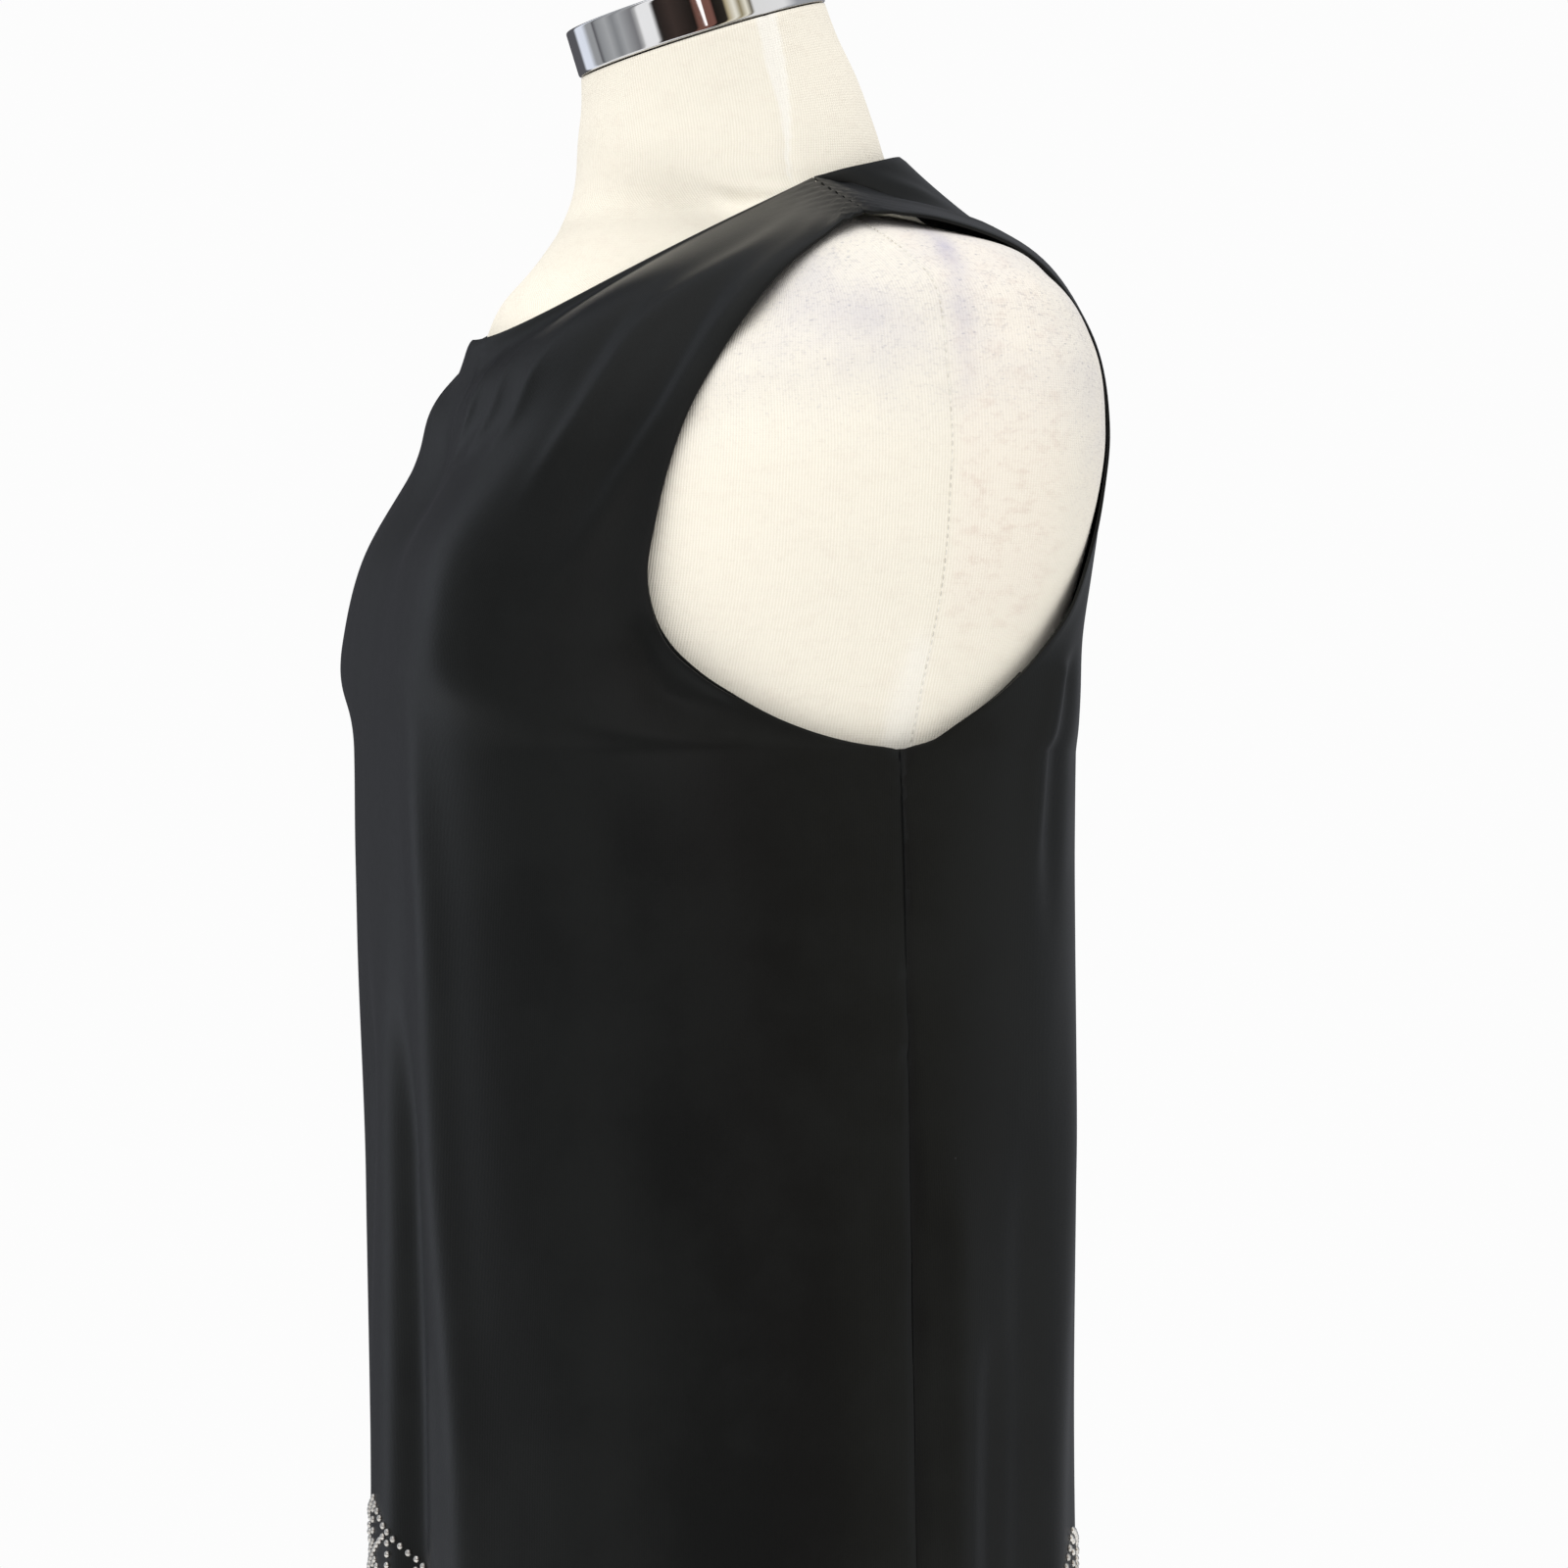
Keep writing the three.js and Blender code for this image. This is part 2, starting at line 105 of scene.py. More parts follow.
def hanging(z, half, depth, fullness, way):
    """Level section where the dress hangs free: a rounded quarter, centre line to side seam."""

    def section(u):
        c, s = np.cos(column_angle(u)), np.sin(column_angle(u))
        r = (np.abs(s) ** fullness + np.abs(c) ** fullness) ** (-1 / fullness)
        return np.stack([half * s * r, SIDE_Y + way * depth * c * r, np.full_like(u, z)], -1)

    return section


def fitted(*points):
    """Section given by its points at equal column steps, from centre line to armhole."""
    half = np.array(points, float)
    whole = np.concatenate([half[:0:-1] * (-1, 1, 1), half])
    stations = np.linspace(-1, 1, len(whole))
    return lambda u: through(stations, whole, u)


def top_edge(neck_y, neck_z, rise):
    """Top edge of a panel: half the neckline, then the shoulder seam out to the armhole."""
    corner = np.array([NECK_HALF, SHOULDER_Y, NECK_SIDE_Z])

    def section(u):
        a = math.pi * np.minimum(u, 0.5)
        r = 1 + NECK_SQUARENESS * np.sin(2 * a) ** 2
        away = 1 - np.cos(a) * r
        lift = rise * np.sin(2 * a) * np.cos(a) ** 2
        y = neck_y + (SHOULDER_Y - neck_y) * away
        z = neck_z + (NECK_SIDE_Z - neck_z) * away + lift
        neckline = np.stack([NECK_HALF * np.sin(a) * r, y, z], -1)
        t = np.clip(2 * u - 1, 0, 1)[:, None]
        shoulder = corner * (1 - t) + np.array(SHOULDER_TIP) * t
        return np.where((u > 0.5)[:, None], shoulder, neckline)

    return section


FRONT = {
    "way": -1,
    "rows": [
        (450, hanging(450, 199, 175, 2.1, -1)),
        (640, hanging(640, 192, 169, 2.15, -1)),
        (860, hanging(860, 187, 167, 2.25, -1)),
        (1010, hanging(1010, 179, 167, 2.5, -1)),
        (1161, hanging(1161, 167, 168, 2.9, -1)),
        (1259, fitted((0, -143.5, 1207), (50, -144.5, 1207), (96, -138.5, 1206),
                      (131, -110, 1204), (155, -64, 1200))),
        (1302, fitted((0, -136.5, 1238), (47, -138, 1240), (90, -130, 1243),
                      (123, -103, 1245), (148.3, -68, 1242))),
        (1343, fitted((0, -121, 1264), (43, -122, 1271), (81, -111.5, 1278),
                      (115, -90, 1284), (147, -57, 1281.5))),
        (1418, fitted((0, -113, 1297), (38, -108.5, 1309), (76, -72, 1337),
                      (110, -41, 1346), (144, -17, 1342.5))),
        (TOP_LEVEL, top_edge(-105.5, 1327, -3.6)),
    ],
    "armhole": [
        (1161, (167, 24, 1161)), (1177, (166.6, 8, 1163)), (1196, (165, -10, 1167.5)),
        (1221, (162, -33.5, 1177.5)), (1245, (158, -54, 1190.5)), (1259, (155, -64, 1200)),
        (1282, (150.5, -70.5, 1222)), (1310, (148, -66.5, 1250)), (1343, (147, -57, 1281.5)),
        (1381, (145.5, -40, 1312)), (1418, (144, -17, 1342.5)), (1446, (142.5, 2, 1358)),
        (TOP_LEVEL, SHOULDER_TIP),
    ],
}

BACK = {
    "way": 1,
    "rows": [
        (450, hanging(450, 199, 117, 2.1, 1)),
        (640, hanging(640, 192, 109, 2.1, 1)),
        (860, hanging(860, 187, 100.5, 2.3, 1)),
        (1010, hanging(1010, 179, 99.8, 2.6, 1)),
        (1161, hanging(1161, 167, 99.5, 3, 1)),
        (1254, fitted((0, 126.5, 1218), (50, 125.5, 1218), (93, 120.5, 1217),
                      (127, 111, 1216), (151, 97, 1214))),
        (1331, fitted((0, 130, 1297), (42, 130, 1296), (77, 128.5, 1293),
                      (105, 125.5, 1290), (130, 120.5, 1286))),
        (1411, fitted((0, 106, 1366.5), (38, 106, 1364.5), (76, 101.5, 1362),
                      (106, 93.5, 1359.5), (134, 84.5, 1354.5))),
        (TOP_LEVEL, top_edge(69.5, 1402, 1.6)),
    ],
    "armhole": [
        (1161, (167, 24, 1161)), (1173, (166.4, 36, 1164)), (1187, (165, 48, 1171)),
        (1209, (161.5, 66, 1183)), (1231, (157, 82, 1197)), (1254, (151, 97, 1214)),
        (1279, (142.5, 108.5, 1236.5)), (1307, (134, 117, 1263)), (1331, (130, 120.5, 1286)),
        (1370, (129, 113.5, 1323)), (1411, (134, 84.5, 1354.5)), (1441, (139.5, 50.5, 1365.5)),
        (TOP_LEVEL, SHOULDER_TIP),
    ],
}

# Soft folds of the hanging skirt, deepest at the hem: turns round the body, phase, depth.
SKIRT_FOLDS = ((9, 0.6, 3.6), (5, 2.1, 3.0))
FOLD_TOP = 1120

# Creases: a path on the flat cloth (across from the centre line, up from the hem), half width,
# height (above 0 a ridge, below 0 a trough) and the share of it on the other side of the body.
FRONT_CREASES = [
    # fan of drag lines under the neckline
    (((17, 884), (24, 850), (2, 815)), 3.5, 0.7, 0.2),
    (((36, 890), (44, 852), (18, 812)), 3.5, 0.7, 0.2),
    (((60, 888), (64, 856), (48, 826)), 3.5, 0.5, 0.2),
    (((87, 884), (82, 856), (70, 832)), 5, 0.5, 0.2),
    # the neckline stands away from the form on the wearer's right
    (((-64, 965), (-60, 938), (-57, 915), (-55, 894)), 10, 4.5, 0),
    # long folds that fall from the shoulder seam across the chest
    (((190, 1006), (158, 958), (134, 916), (122, 862), (116, 818)), 6, 1.7, 0.9),
    (((200, 1010), (181, 976), (170, 938), (160, 886), (152, 830), (138, 790)), 6.5, 2.2, 0.9),
    (((178, 1000), (146, 948), (124, 910), (112, 872)), 6, -0.9, 0.9),
    (((214, 1012), (190, 982), (178, 950), (172, 920)), 5, 1.3, 0.9),
    (((228, 1013), (206, 988), (196, 962)), 4, 1.2, 0.9),
    (((196, 1000), (176, 965), (160, 925), (148, 870), (140, 826)), 6, -1.4, 0.9),
    # slack at the front of the armhole
    (((200, 838), (204, 806), (226, 776)), 7, 1.5, 0.9),
    (((188, 826), (190, 790), (204, 748)), 10, -1.4, 0.9),
    # folds that hang from the bust
    (((62, 766), (62, 700), (69, 640), (74, 545), (82, 480), (88, 414), (92, 300), (94, 120)),
     15, 3.2, 0.35),
    (((34, 640), (38, 560), (42, 480), (45, 400), (47, 260), (49, 60)), 15, -7.2, 0.7),
    (((60, 490), (57, 430), (57, 390), (60, 250)), 6, 1.2, 0.4),
    (((-56, 640), (-68, 520), (-76, 400), (-82, 220), (-84, 60)), 30, -2.0, 0),
    (((120, 560), (130, 400), (134, 200), (136, 30)), 22, -1.6, 0.9),
]
BACK_CREASES = [
    # soft fold across the yoke, and the pull at the shoulder blade
    (((100, 1008), (86, 996), (72, 975), (58, 952)), 6, 1.6, 0.9),
    (((120, 1008), (112, 980), (100, 950)), 5, 1.0, 0.9),
    (((152, 985), (150, 940), (140, 890), (146, 830)), 9, 0.8, 0.9),
    # folds that hang from the shoulder blade
    (((150, 770), (156, 748), (168, 700), (176, 655)), 7, 2.4, 0.9),
    (((140, 775), (146, 735), (158, 690), (164, 630)), 8, -2.4, 0.9),
    (((214, 560), (212, 504), (214, 406), (216, 300), (218, 90)), 9, 2.2, 0.9),
    (((200, 500), (200, 457), (202, 406), (204, 260), (206, 60)), 9, -3.2, 0.9),
    (((134, 640), (142, 560), (148, 500), (156, 415), (160, 250), (164, 60)), 14, 2.2, 0.9),
    (((178, 600), (180, 500), (182, 400), (184, 200), (186, 30)), 13, -3.4, 0.9),
    (((60, 700), (62, 560), (66, 400), (70, 200), (72, 40)), 24, -2.2, 0.9),
    (((20, 660), (22, 500), (26, 300), (28, 60)), 20, 1.6, 0.9),
]

# ------------------------------------------------------------------- dress form (mm)

TORSO_BOTTOM = 650
# z, half width, front, back, side, hollow in front, hollow behind, skew, lean in degrees
TORSO_RINGS = np.array([
    (650, 146, -90, 98, 18, -0.03, -0.04, 0, 0),
    (760, 159, -104, 105, 20, -0.03, -0.04, 0, 0),
    (860, 163, -107, 107, 22, -0.03, -0.04, 0, 0),
    (950, 151, -99, 101, 22, -0.03, -0.03, 0, 0),
    (1030, 132, -88, 88, 22, -0.03, -0.03, 0, 0),
    (1100, 143, -104, 100, 23, -0.03, -0.04, 0, 0),
    (1161, 158.5, -122, 115, 25, -0.04, -0.05, 0, 0),
    (1206, 170, -128, 121, 30, -0.04, -0.08, 0, 0),
    (1245, 181, -122, 124, 34, -0.015, -0.13, 0, 0),
    (1285, 188, -110.5, 125, 37, 0.02, -0.165, 0, 0),
    (1318, 185, -101, 119, 36, 0.1, -0.175, 0.3, 0),
    (1343, 173, -91.5, 108, 33, 0.31, -0.145, 0.5, 0),
    (1358, 150, -78, 99, 28, 0.36, -0.09, 0.2, 0),
    (1368, 116, -70.5, 91, 22, 0.37, 0.05, -0.2, 0),
    (1377, 70.5, -65.5, 82, 16, 0.16, 0.04, -0.5, 0),
    (1385, 63, -63, 74.5, 9, 0.06, 0.02, 0, 0),
    (1394, 60, -61.8, 67.5, 5, 0.03, 0, 0, 4),
    (1406, 57, -61.5, 62.5, 3, 0, 0, 0, 8),
    (1424, 53.5, -61.8, 55, -1.5, 0, 0, 0, 13),
    (1439, 52.3, -61, 47.2, -5.8, 0, 0, 0, 16),
    (1450.7, 52, -61.3, 42.6, -9.35, 0, 0, 0, 17.7),
])
# Where the cover's seam runs behind the widest line of the form: z, degrees.
SEAM_DRIFT = (
    (650, 0), (1000, 2), (1177, 3.6), (1222, 3.9), (1270, 1.3), (1300, -0.2), (1340, -0.5),
    (1358, -3), (1375, 0), (1409, 8), (1451, 15),
)
NECK_TOP = (0, -9.5, 1451)
NECK_LEAN = math.radians(17.7)
FIT_GAP = 0.3


# --------------------------------------------------------------------------- settings


def colour(name, description, default):
    """A colour that a user can change."""
    return bpy.props.FloatVectorProperty(
        name=name, description=description, subtype="COLOR", size=3, min=0, max=1,
        default=default,
    )


def length(name, description, default):
    """A length in metres that a user can change."""
    return bpy.props.FloatProperty(
        name=name, description=description, subtype="DISTANCE", unit="LENGTH", min=0,
        default=default, precision=4,
    )


class DressSettings(bpy.types.PropertyGroup):
    """Sizes and colours of the dress."""

    cloth: length("Cloth", "Thickness of the jersey wall", 0.0012)
    crease: bpy.props.FloatProperty(
        name="Crease depth", description="Share of the full depth of the creases", default=1.0,
        min=0, max=2,
    )
    bead: length("Bead", "Width of one bead", 0.0031)
    bead_pitch: length("Bead pitch", "Distance between two beads of a line", 0.0044)
    net_peak: length("Net peak", "Height of the highest points of the bead net", 0.862)
    net_depth: length("Net depth", "Height of the bead net from its points down", 0.2)
    jersey: colour("Jersey", "Colour of the jersey", (0.0054, 0.0062, 0.0058))
    sheen: colour("Sheen", "Tint of the jersey's sheen", (0.62, 0.68, 0.95))
    bead_metal: colour("Bead metal", "Colour of the beads", (0.86, 0.84, 0.80))


class FormSettings(bpy.types.PropertyGroup):
    """Sizes and colours of the dress form and its stand."""

    rib: length("Rib pitch", "Distance between two ribs of the knitted cover", 0.0012)
    stitch: length("Stitch", "Distance between two stitches of the cover's seam", 0.0032)
    cover: colour("Cover", "Colour of the knitted cover", (0.93, 0.885, 0.78))
    worn: colour("Worn", "Colour of the rubbed places on the cover", (0.66, 0.64, 0.65))
    stain: colour("Stain", "Colour of the dye mark on the shoulder", (0.47, 0.45, 0.56))
    chrome: colour("Chrome", "Colour of the polished chrome", (0.80, 0.80, 0.81))
    satin: colour("Satin chrome", "Colour of the stand's satin chrome", (0.62, 0.62, 0.63))


class StageSettings(bpy.types.PropertyGroup):
    """Floor, light and camera."""

    distance: length("Distance", "Distance of the camera from the form's axis", 2.136)
    height: length("Height", "Height of the camera", 1.148)
    azimuth: bpy.props.FloatProperty(
        name="Azimuth", description="Side that the camera looks from", subtype="ANGLE",
        default=math.radians(75),
    )
    floor: colour("Floor", "Colour of the floor", (0.86, 0.86, 0.86))


# ------------------------------------------------------------------------ mesh helpers


def link(data, name):
    """Object at the origin that shows a mesh, or holds a lamp or the camera."""
    piece = bpy.data.objects.new(name, data)
    bpy.context.scene.collection.objects.link(piece)
    return piece


def shade_smooth(mesh):
    """Smooth shading all over a mesh."""
    mesh.polygons.foreach_set("use_smooth", np.ones(len(mesh.polygons), bool))


def to_mesh(name, bm):
    """Mesh made from a bmesh, which is freed."""
    mesh = bpy.data.meshes.new(name)
    bm.to_mesh(mesh)
    bm.free()
    return mesh


def mapped_grid(name, points, flat=None, marks=None):
    """Grid of quads whose corners lie at points[row][column], with a UV map in metres."""
    rows, columns = points.shape[:2]
    bm = bmesh.new()
    bmesh.ops.create_grid(bm, x_segments=columns - 1, y_segments=rows - 1, size=0.5)
    mesh = to_mesh(name, bm)
    place = np.empty(len(mesh.vertices) * 3)
    mesh.vertices.foreach_get("co", place)
    place = place.reshape(-1, 3)
    j = np.rint((place[:, 0] + 0.5) * (columns - 1)).astype(int)
    i = np.rint((place[:, 1] + 0.5) * (rows - 1)).astype(int)
    mesh.vertices.foreach_set("co", points[i, j].astype(np.float32).ravel())
    if flat is not None:
        corner = np.empty(len(mesh.loops), np.int32)
        mesh.loops.foreach_get("vertex_index", corner)
        layer = mesh.uv_layers.new(name="flat")
        layer.data.foreach_set("uv", flat[i, j][corner].astype(np.float32).ravel())
    for key, values in (marks or {}).items():
        attribute = mesh.attributes.new(key, "FLOAT", "POINT")
        attribute.data.foreach_set("value", values[i, j].astype(np.float32).ravel())
    mesh.update()
    shade_smooth(mesh)
    return mesh


def scatter(name, seed, places):
    """One mesh of many copies of a small seed mesh, each at its own 4x4 place."""
    count, corners = len(places), len(seed.vertices)
    co = np.empty(corners * 3)
    seed.vertices.foreach_get("co", co)
    co = np.concatenate([co.reshape(-1, 3), np.ones((corners, 1))], 1)
    spread = np.einsum("nij,kj->nki", np.asarray(places, float), co)[..., :3]
    faces = [tuple(p.vertices) for p in seed.polygons]
    joined = [
        tuple(v + n * corners for v in face) for n in range(count) for face in faces
    ]
    mesh = bpy.data.meshes.new(name)
    mesh.from_pydata(spread.reshape(-1, 3).tolist(), [], joined)
    shade_smooth(mesh)
    bpy.data.meshes.remove(seed)
    return mesh


def rounded(corners, radius, steps=4):
    """Outline through (radius, height) corners, with each inner corner rounded by an arc."""
    outline = [corners[0]]
    for before, at, after in zip(corners, corners[1:], corners[2:]):
        at = Vector(at)
        back, on = (Vector(before) - at), (Vector(after) - at)
        reach = min(radius, back.length * 0.4, on.length * 0.4)
        back.normalize()
        on.normalize()
        outline.append(tuple(at + back * reach * 1.6))
        for k in range(steps + 1):
            t = k / steps
            outline.append(tuple(at + back * reach * (1 - t) ** 2 + on * reach * t * t))
        outline.append(tuple(at + on * reach * 1.6))
    outline.append(corners[-1])
    return outline


def turned(name, outline, segments, base=(0, 0, 0), lean=0.0):
    """Solid turned from its (radius, height) outline, leant about X and set on its base."""
    bm = bmesh.new()
    line = [bm.verts.new((max(r, 0), 0, z)) for r, z in outline]
    edges = [bm.edges.new(pair) for pair in zip(line, line[1:])]
    bmesh.ops.spin(
        bm, geom=line + edges, cent=(0, 0, 0), axis=(0, 0, 1), angle=2 * math.pi,
        steps=segments, use_merge=True,
    )
    bmesh.ops.remove_doubles(bm, verts=bm.verts, dist=1e-6)
    bmesh.ops.recalc_face_normals(bm, faces=bm.faces)
    bmesh.ops.rotate(bm, verts=bm.verts, matrix=Matrix.Rotation(lean, 3, "X"))
    bmesh.ops.translate(bm, verts=bm.verts, vec=base)
    mesh = to_mesh(name, bm)
    shade_smooth(mesh)
    return mesh


# ------------------------------------------------------------------------ cloth shapes


class Panel:
    """A panel of the dress as a grid: rows from hem to neckline, columns side to side."""

    COLUMNS = 169
    LOWER_ROWS = 62
    UPPER_ROWS = 186

    def __init__(self, cut, creases, seed, crease_depth):
        self.cut = cut
        self.u = np.linspace(-1, 1, self.COLUMNS)
        lower = np.linspace(HEM_Z, UPPER_LEVEL, self.LOWER_ROWS, endpoint=False)
        self.levels = np.concatenate([lower, np.linspace(UPPER_LEVEL, TOP_LEVEL, self.UPPER_ROWS)])
        self.points = self.hung()
        self.flat = self.pattern()
        self.points += self.normals() * self.relief(creases, seed, crease_depth)[..., None]
        self.close_seams()
        self.outward = self.normals()

    def hung(self):
        """Middle surface of the panel on the form, in mm, with the folds of the skirt."""
        column = np.abs(self.u)
        knots = [level for level, _ in self.cut["rows"]]
        rows = np.array([section(column) for _, section in self.cut["rows"]])
        p = through(knots, rows, self.levels)
        edge_knots = [level for level, _ in self.cut["armhole"]]
        edge = through(edge_knots, [place for _, place in self.cut["armhole"]], self.levels)
        share = smooth((column - 0.35) / 0.65)
        above = (self.levels > ARMHOLE_Z)[:, None]
        p = p + (above * (edge - p[:, -1]))[:, None, :] * share[None, :, None]
        p[..., 0] *= np.where(self.u < 0, -1, 1)
        x, y = p[..., 0], p[..., 1] - SIDE_Y
        down = np.clip((FOLD_TOP - p[..., 2]) / (FOLD_TOP - HEM_Z), 0, 1)
        turn = np.arctan2(x, -y)
        seam = 1 - np.exp(-(((np.abs(turn) - math.pi / 2) / 0.12) ** 2))
        out = sum(d * np.sin(n * turn + phase) for n, phase, d in SKIRT_FOLDS) * down * seam
        reach = np.hypot(x, y)
        p[..., 0] += out * x / reach
        p[..., 1] += out * y / reach
        return p

    def normals(self):
        """Outward normals of the middle surface."""
        across = np.gradient(self.points, axis=1)
        up = np.gradient(self.points, axis=0)
        n = np.cross(across, up) * -self.cut["way"]
        return n / np.linalg.norm(n, axis=-1, keepdims=True)

    def pattern(self):
        """Place of each corner on the flat cloth: across from the centre, up from the hem."""
        wide = np.linalg.norm(np.diff(self.points, axis=1), axis=-1)
        tall = np.linalg.norm(np.diff(self.points, axis=0), axis=-1)
        across = np.pad(np.cumsum(wide, 1), ((0, 0), (1, 0)))
        across -= across[:, self.COLUMNS // 2][:, None]
        up = np.pad(np.cumsum(tall, 0), ((1, 0), (0, 0)))
        return np.stack([across, up], -1)

    def crease(self, path, half_width):
        """Share, from 0 to 1, that each corner has in a crease along a path."""
        knots = np.linspace(0, 1, len(path))
        t = np.linspace(0, 1, 8 * len(path))
        line = through(knots, path, t)
        nearest = np.full(self.flat.shape[:2], np.inf)
        along = np.zeros_like(nearest)
        for a, b, t0, t1 in zip(line, line[1:], t, t[1:]):
            run = b - a
            share = np.clip(((self.flat - a) @ run) / (run @ run), 0, 1)
            away = np.linalg.norm(self.flat - a - share[..., None] * run, axis=-1)
            closer = away < nearest
            nearest[closer] = away[closer]
            along[closer] = (t0 + (t1 - t0) * share)[closer]
        ends = smooth(along / 0.22) * smooth((1 - along) / 0.3)
        return np.exp(-((nearest / half_width) ** 2)) * (0.08 + 0.92 * ends)

    def relief(self, creases, seed, crease_depth):
        """Height of the cloth over its middle surface, in mm: creases, seams and edges."""
        random = np.random.default_rng(seed)
        height = np.zeros(self.flat.shape[:2])
        for path, half_width, rise, other_side in creases:
            path = np.array(path, float)
            shift = random.normal(0, 1, (len(path), 2)) * (3.5, 2.5)
            height += rise * self.crease(path, half_width)
            if other_side:
                across = self.crease((path + shift) * (-1, 1), half_width * 1.1)
                height += rise * other_side * across
        height *= crease_depth
        across, up = self.flat[..., 0], self.flat[..., 1]
        ripple = np.sin(across * 0.031 + up * 0.012) * np.sin(up * 0.019 - across * 0.008 + seed)
        height += 0.35 * ripple
        from_side = across.max(axis=1, keepdims=True) - np.abs(across)
        from_top = up[-1][None, :] - up
        shoulder = (np.abs(self.u) > 0.5)[None, :]
        low = (self.levels <= ARMHOLE_Z)[:, None]
        hang = low * (1 + 0.35 * np.sin(up * 0.11 + 1.3 * seed))
        # side seams draw in a little, and shoulder seams pucker
        height -= 0.75 * hang * np.exp(-((from_side / 3.2) ** 2))
        pucker = np.sin(across * 0.62 + 0.9 * seed) * np.exp(-((from_top / 13) ** 2))
        height += shoulder * (0.55 * pucker - 1.0 * np.exp(-((from_top / 3) ** 2)))
        # the neckline and the armholes turn in at their edges, and the hem has a low ridge 22 mm
        # up and dips at its edge
        height -= 0.5 * ~shoulder * np.exp(-((from_top / 1.6) ** 2))
        height -= 0.5 * ~low * np.exp(-((from_side / 1.6) ** 2))
        height += 0.3 * np.exp(-(((up - 22) / 2.2) ** 2)) - 0.3 * np.exp(-((up / 2) ** 2))
        return height

    def close_seams(self):
        """Keeps the panel on its own side of the side and shoulder seams."""
        way, y = self.cut["way"], self.points[..., 1]
        low = self.points[..., 2] < ARMHOLE_Z + 0.5
        top = self.points[..., 2] > SHOULDER_TIP[2] - 8
        limit = np.where(low, SIDE_Y, SHOULDER_Y) + way * SEAM_GAP / 2
        kept = np.minimum(y, limit) if way < 0 else np.maximum(y, limit)
        self.points[..., 1] = np.where(low | top, kept, y)

    def place(self, across, z):
        """Middle-surface point and normal at a distance across and a height of the skirt."""
        row = np.interp(z, self.levels, np.arange(len(self.levels)))
        i = int(min(row, len(self.levels) - 2))
        ends = []
        for k in (i, i + 1):
            column = np.interp(across, self.flat[k, :, 0], np.arange(self.COLUMNS))
            j = int(min(column, self.COLUMNS - 2))
            ends.append([
                grid[k, j] + (grid[k, j + 1] - grid[k, j]) * (column - j)
                for grid in (self.points, self.outward)
            ])
        point, normal = (low + (high - low) * (row - i) for low, high in zip(*ends))
        return point, normal / np.linalg.norm(normal)


PANELS = {}


def panels():
    """Both panels, worked out once."""
    if not PANELS:
        depth = bpy.context.scene.dress_settings.crease
        PANELS["front"] = Panel(FRONT, FRONT_CREASES, 3, depth)
        PANELS["back"] = Panel(BACK, BACK_CREASES, 8, depth)
    return PANELS


def torso_point(z, turn):
    """Point of the form's skin, in mm, at a height and a turn from the front (radians)."""
    size = through(TORSO_RINGS[:, 0], TORSO_RINGS, z)
    half, front, back, side, hollow_front, hollow_back, skew, lean = size.T[1:]
    s, c = np.sin(turn), np.cos(turn)
    ahead = c > 0
    hollow = np.where(ahead, hollow_front, hollow_back)
    skew = np.where(ahead, skew, 0)
    r = 1 - hollow * np.sin(2 * turn) ** 2 * (1 + skew * np.cos(2 * turn))
    forward = -np.where(ahead, side - front, back - side) * c * r
    lean = np.radians(lean)
    return np.stack([half * s * r, side + forward * np.cos(lean), z + forward * np.sin(lean)], -1)


# ------------------------------------------------------------------- shader building


class Nodes:
    """Short way to add and join the nodes of one tree."""

    def __init__(self, tree):
        self.tree = tree

    def add(self, kind, links=None, **settings):
        node = self.tree.nodes.new(kind)
        for key, value in settings.items():
            setattr(node, key, value)
        for key, value in (links or {}).items():
            if isinstance(value, bpy.types.NodeSocket):
                self.tree.links.new(value, node.inputs[key])
            else:
                node.inputs[key].default_value = value
        return node

    def math(self, operation, *values, clamp=False):
        return self.add(
            "ShaderNodeMath", dict(enumerate(values)), operation=operation, use_clamp=clamp,
        ).outputs[0]

    def mix(self, factor, a, b):
        a, b = (
            c if isinstance(c, bpy.types.NodeSocket) else (*c[:3], 1) for c in (a, b)
        )
        return self.add("ShaderNodeMix", {0: factor, 6: a, 7: b}, data_type="RGBA").outputs[2]

    def times(self, a, b):
        return self.math("MULTIPLY", a, b)

    def plus(self, a, b):
        return self.math("ADD", a, b)

    def noise(self, place, scale, detail):
        return self.add(
            "ShaderNodeTexNoise", {"Vector": place, "Scale": scale, "Detail": detail},
        ).outputs[0]

    def span(self, value, low, high, to_low=0.0, to_high=1.0):
        return self.add(
            "ShaderNodeMapRange",
            {0: value, 1: low, 2: high, 3: to_low, 4: to_high},
            interpolation_type="SMOOTHSTEP",
        ).outputs[0]


def group(name, inputs, outputs, fill):
    """Shader node group, made once, with named inputs and outputs."""
    if name in bpy.data.node_groups:
        return bpy.data.node_groups[name]
    tree = bpy.data.node_groups.new(name, "ShaderNodeTree")
    for key, kind, default in inputs:
        socket = tree.interface.new_socket(key, in_out="INPUT", socket_type=kind)
        if default is not None:
            socket.default_value = default
    for key, kind in outputs:
        tree.interface.new_socket(key, in_out="OUTPUT", socket_type=kind)
    n = Nodes(tree)
    source = n.add("NodeGroupInput").outputs
    results = fill(n, {key: source[key] for key, _, _ in inputs})
    sink = n.add("NodeGroupOutput")
    for key, socket in results.items():
        tree.links.new(socket, sink.inputs[key])
    return tree


def use(n, tree, **links):
    """Places a node group and returns its outputs."""
    return n.add("ShaderNodeGroup", links, node_tree=tree).outputs


VECTOR, NUMBER = "NodeSocketVector", "NodeSocketFloat"


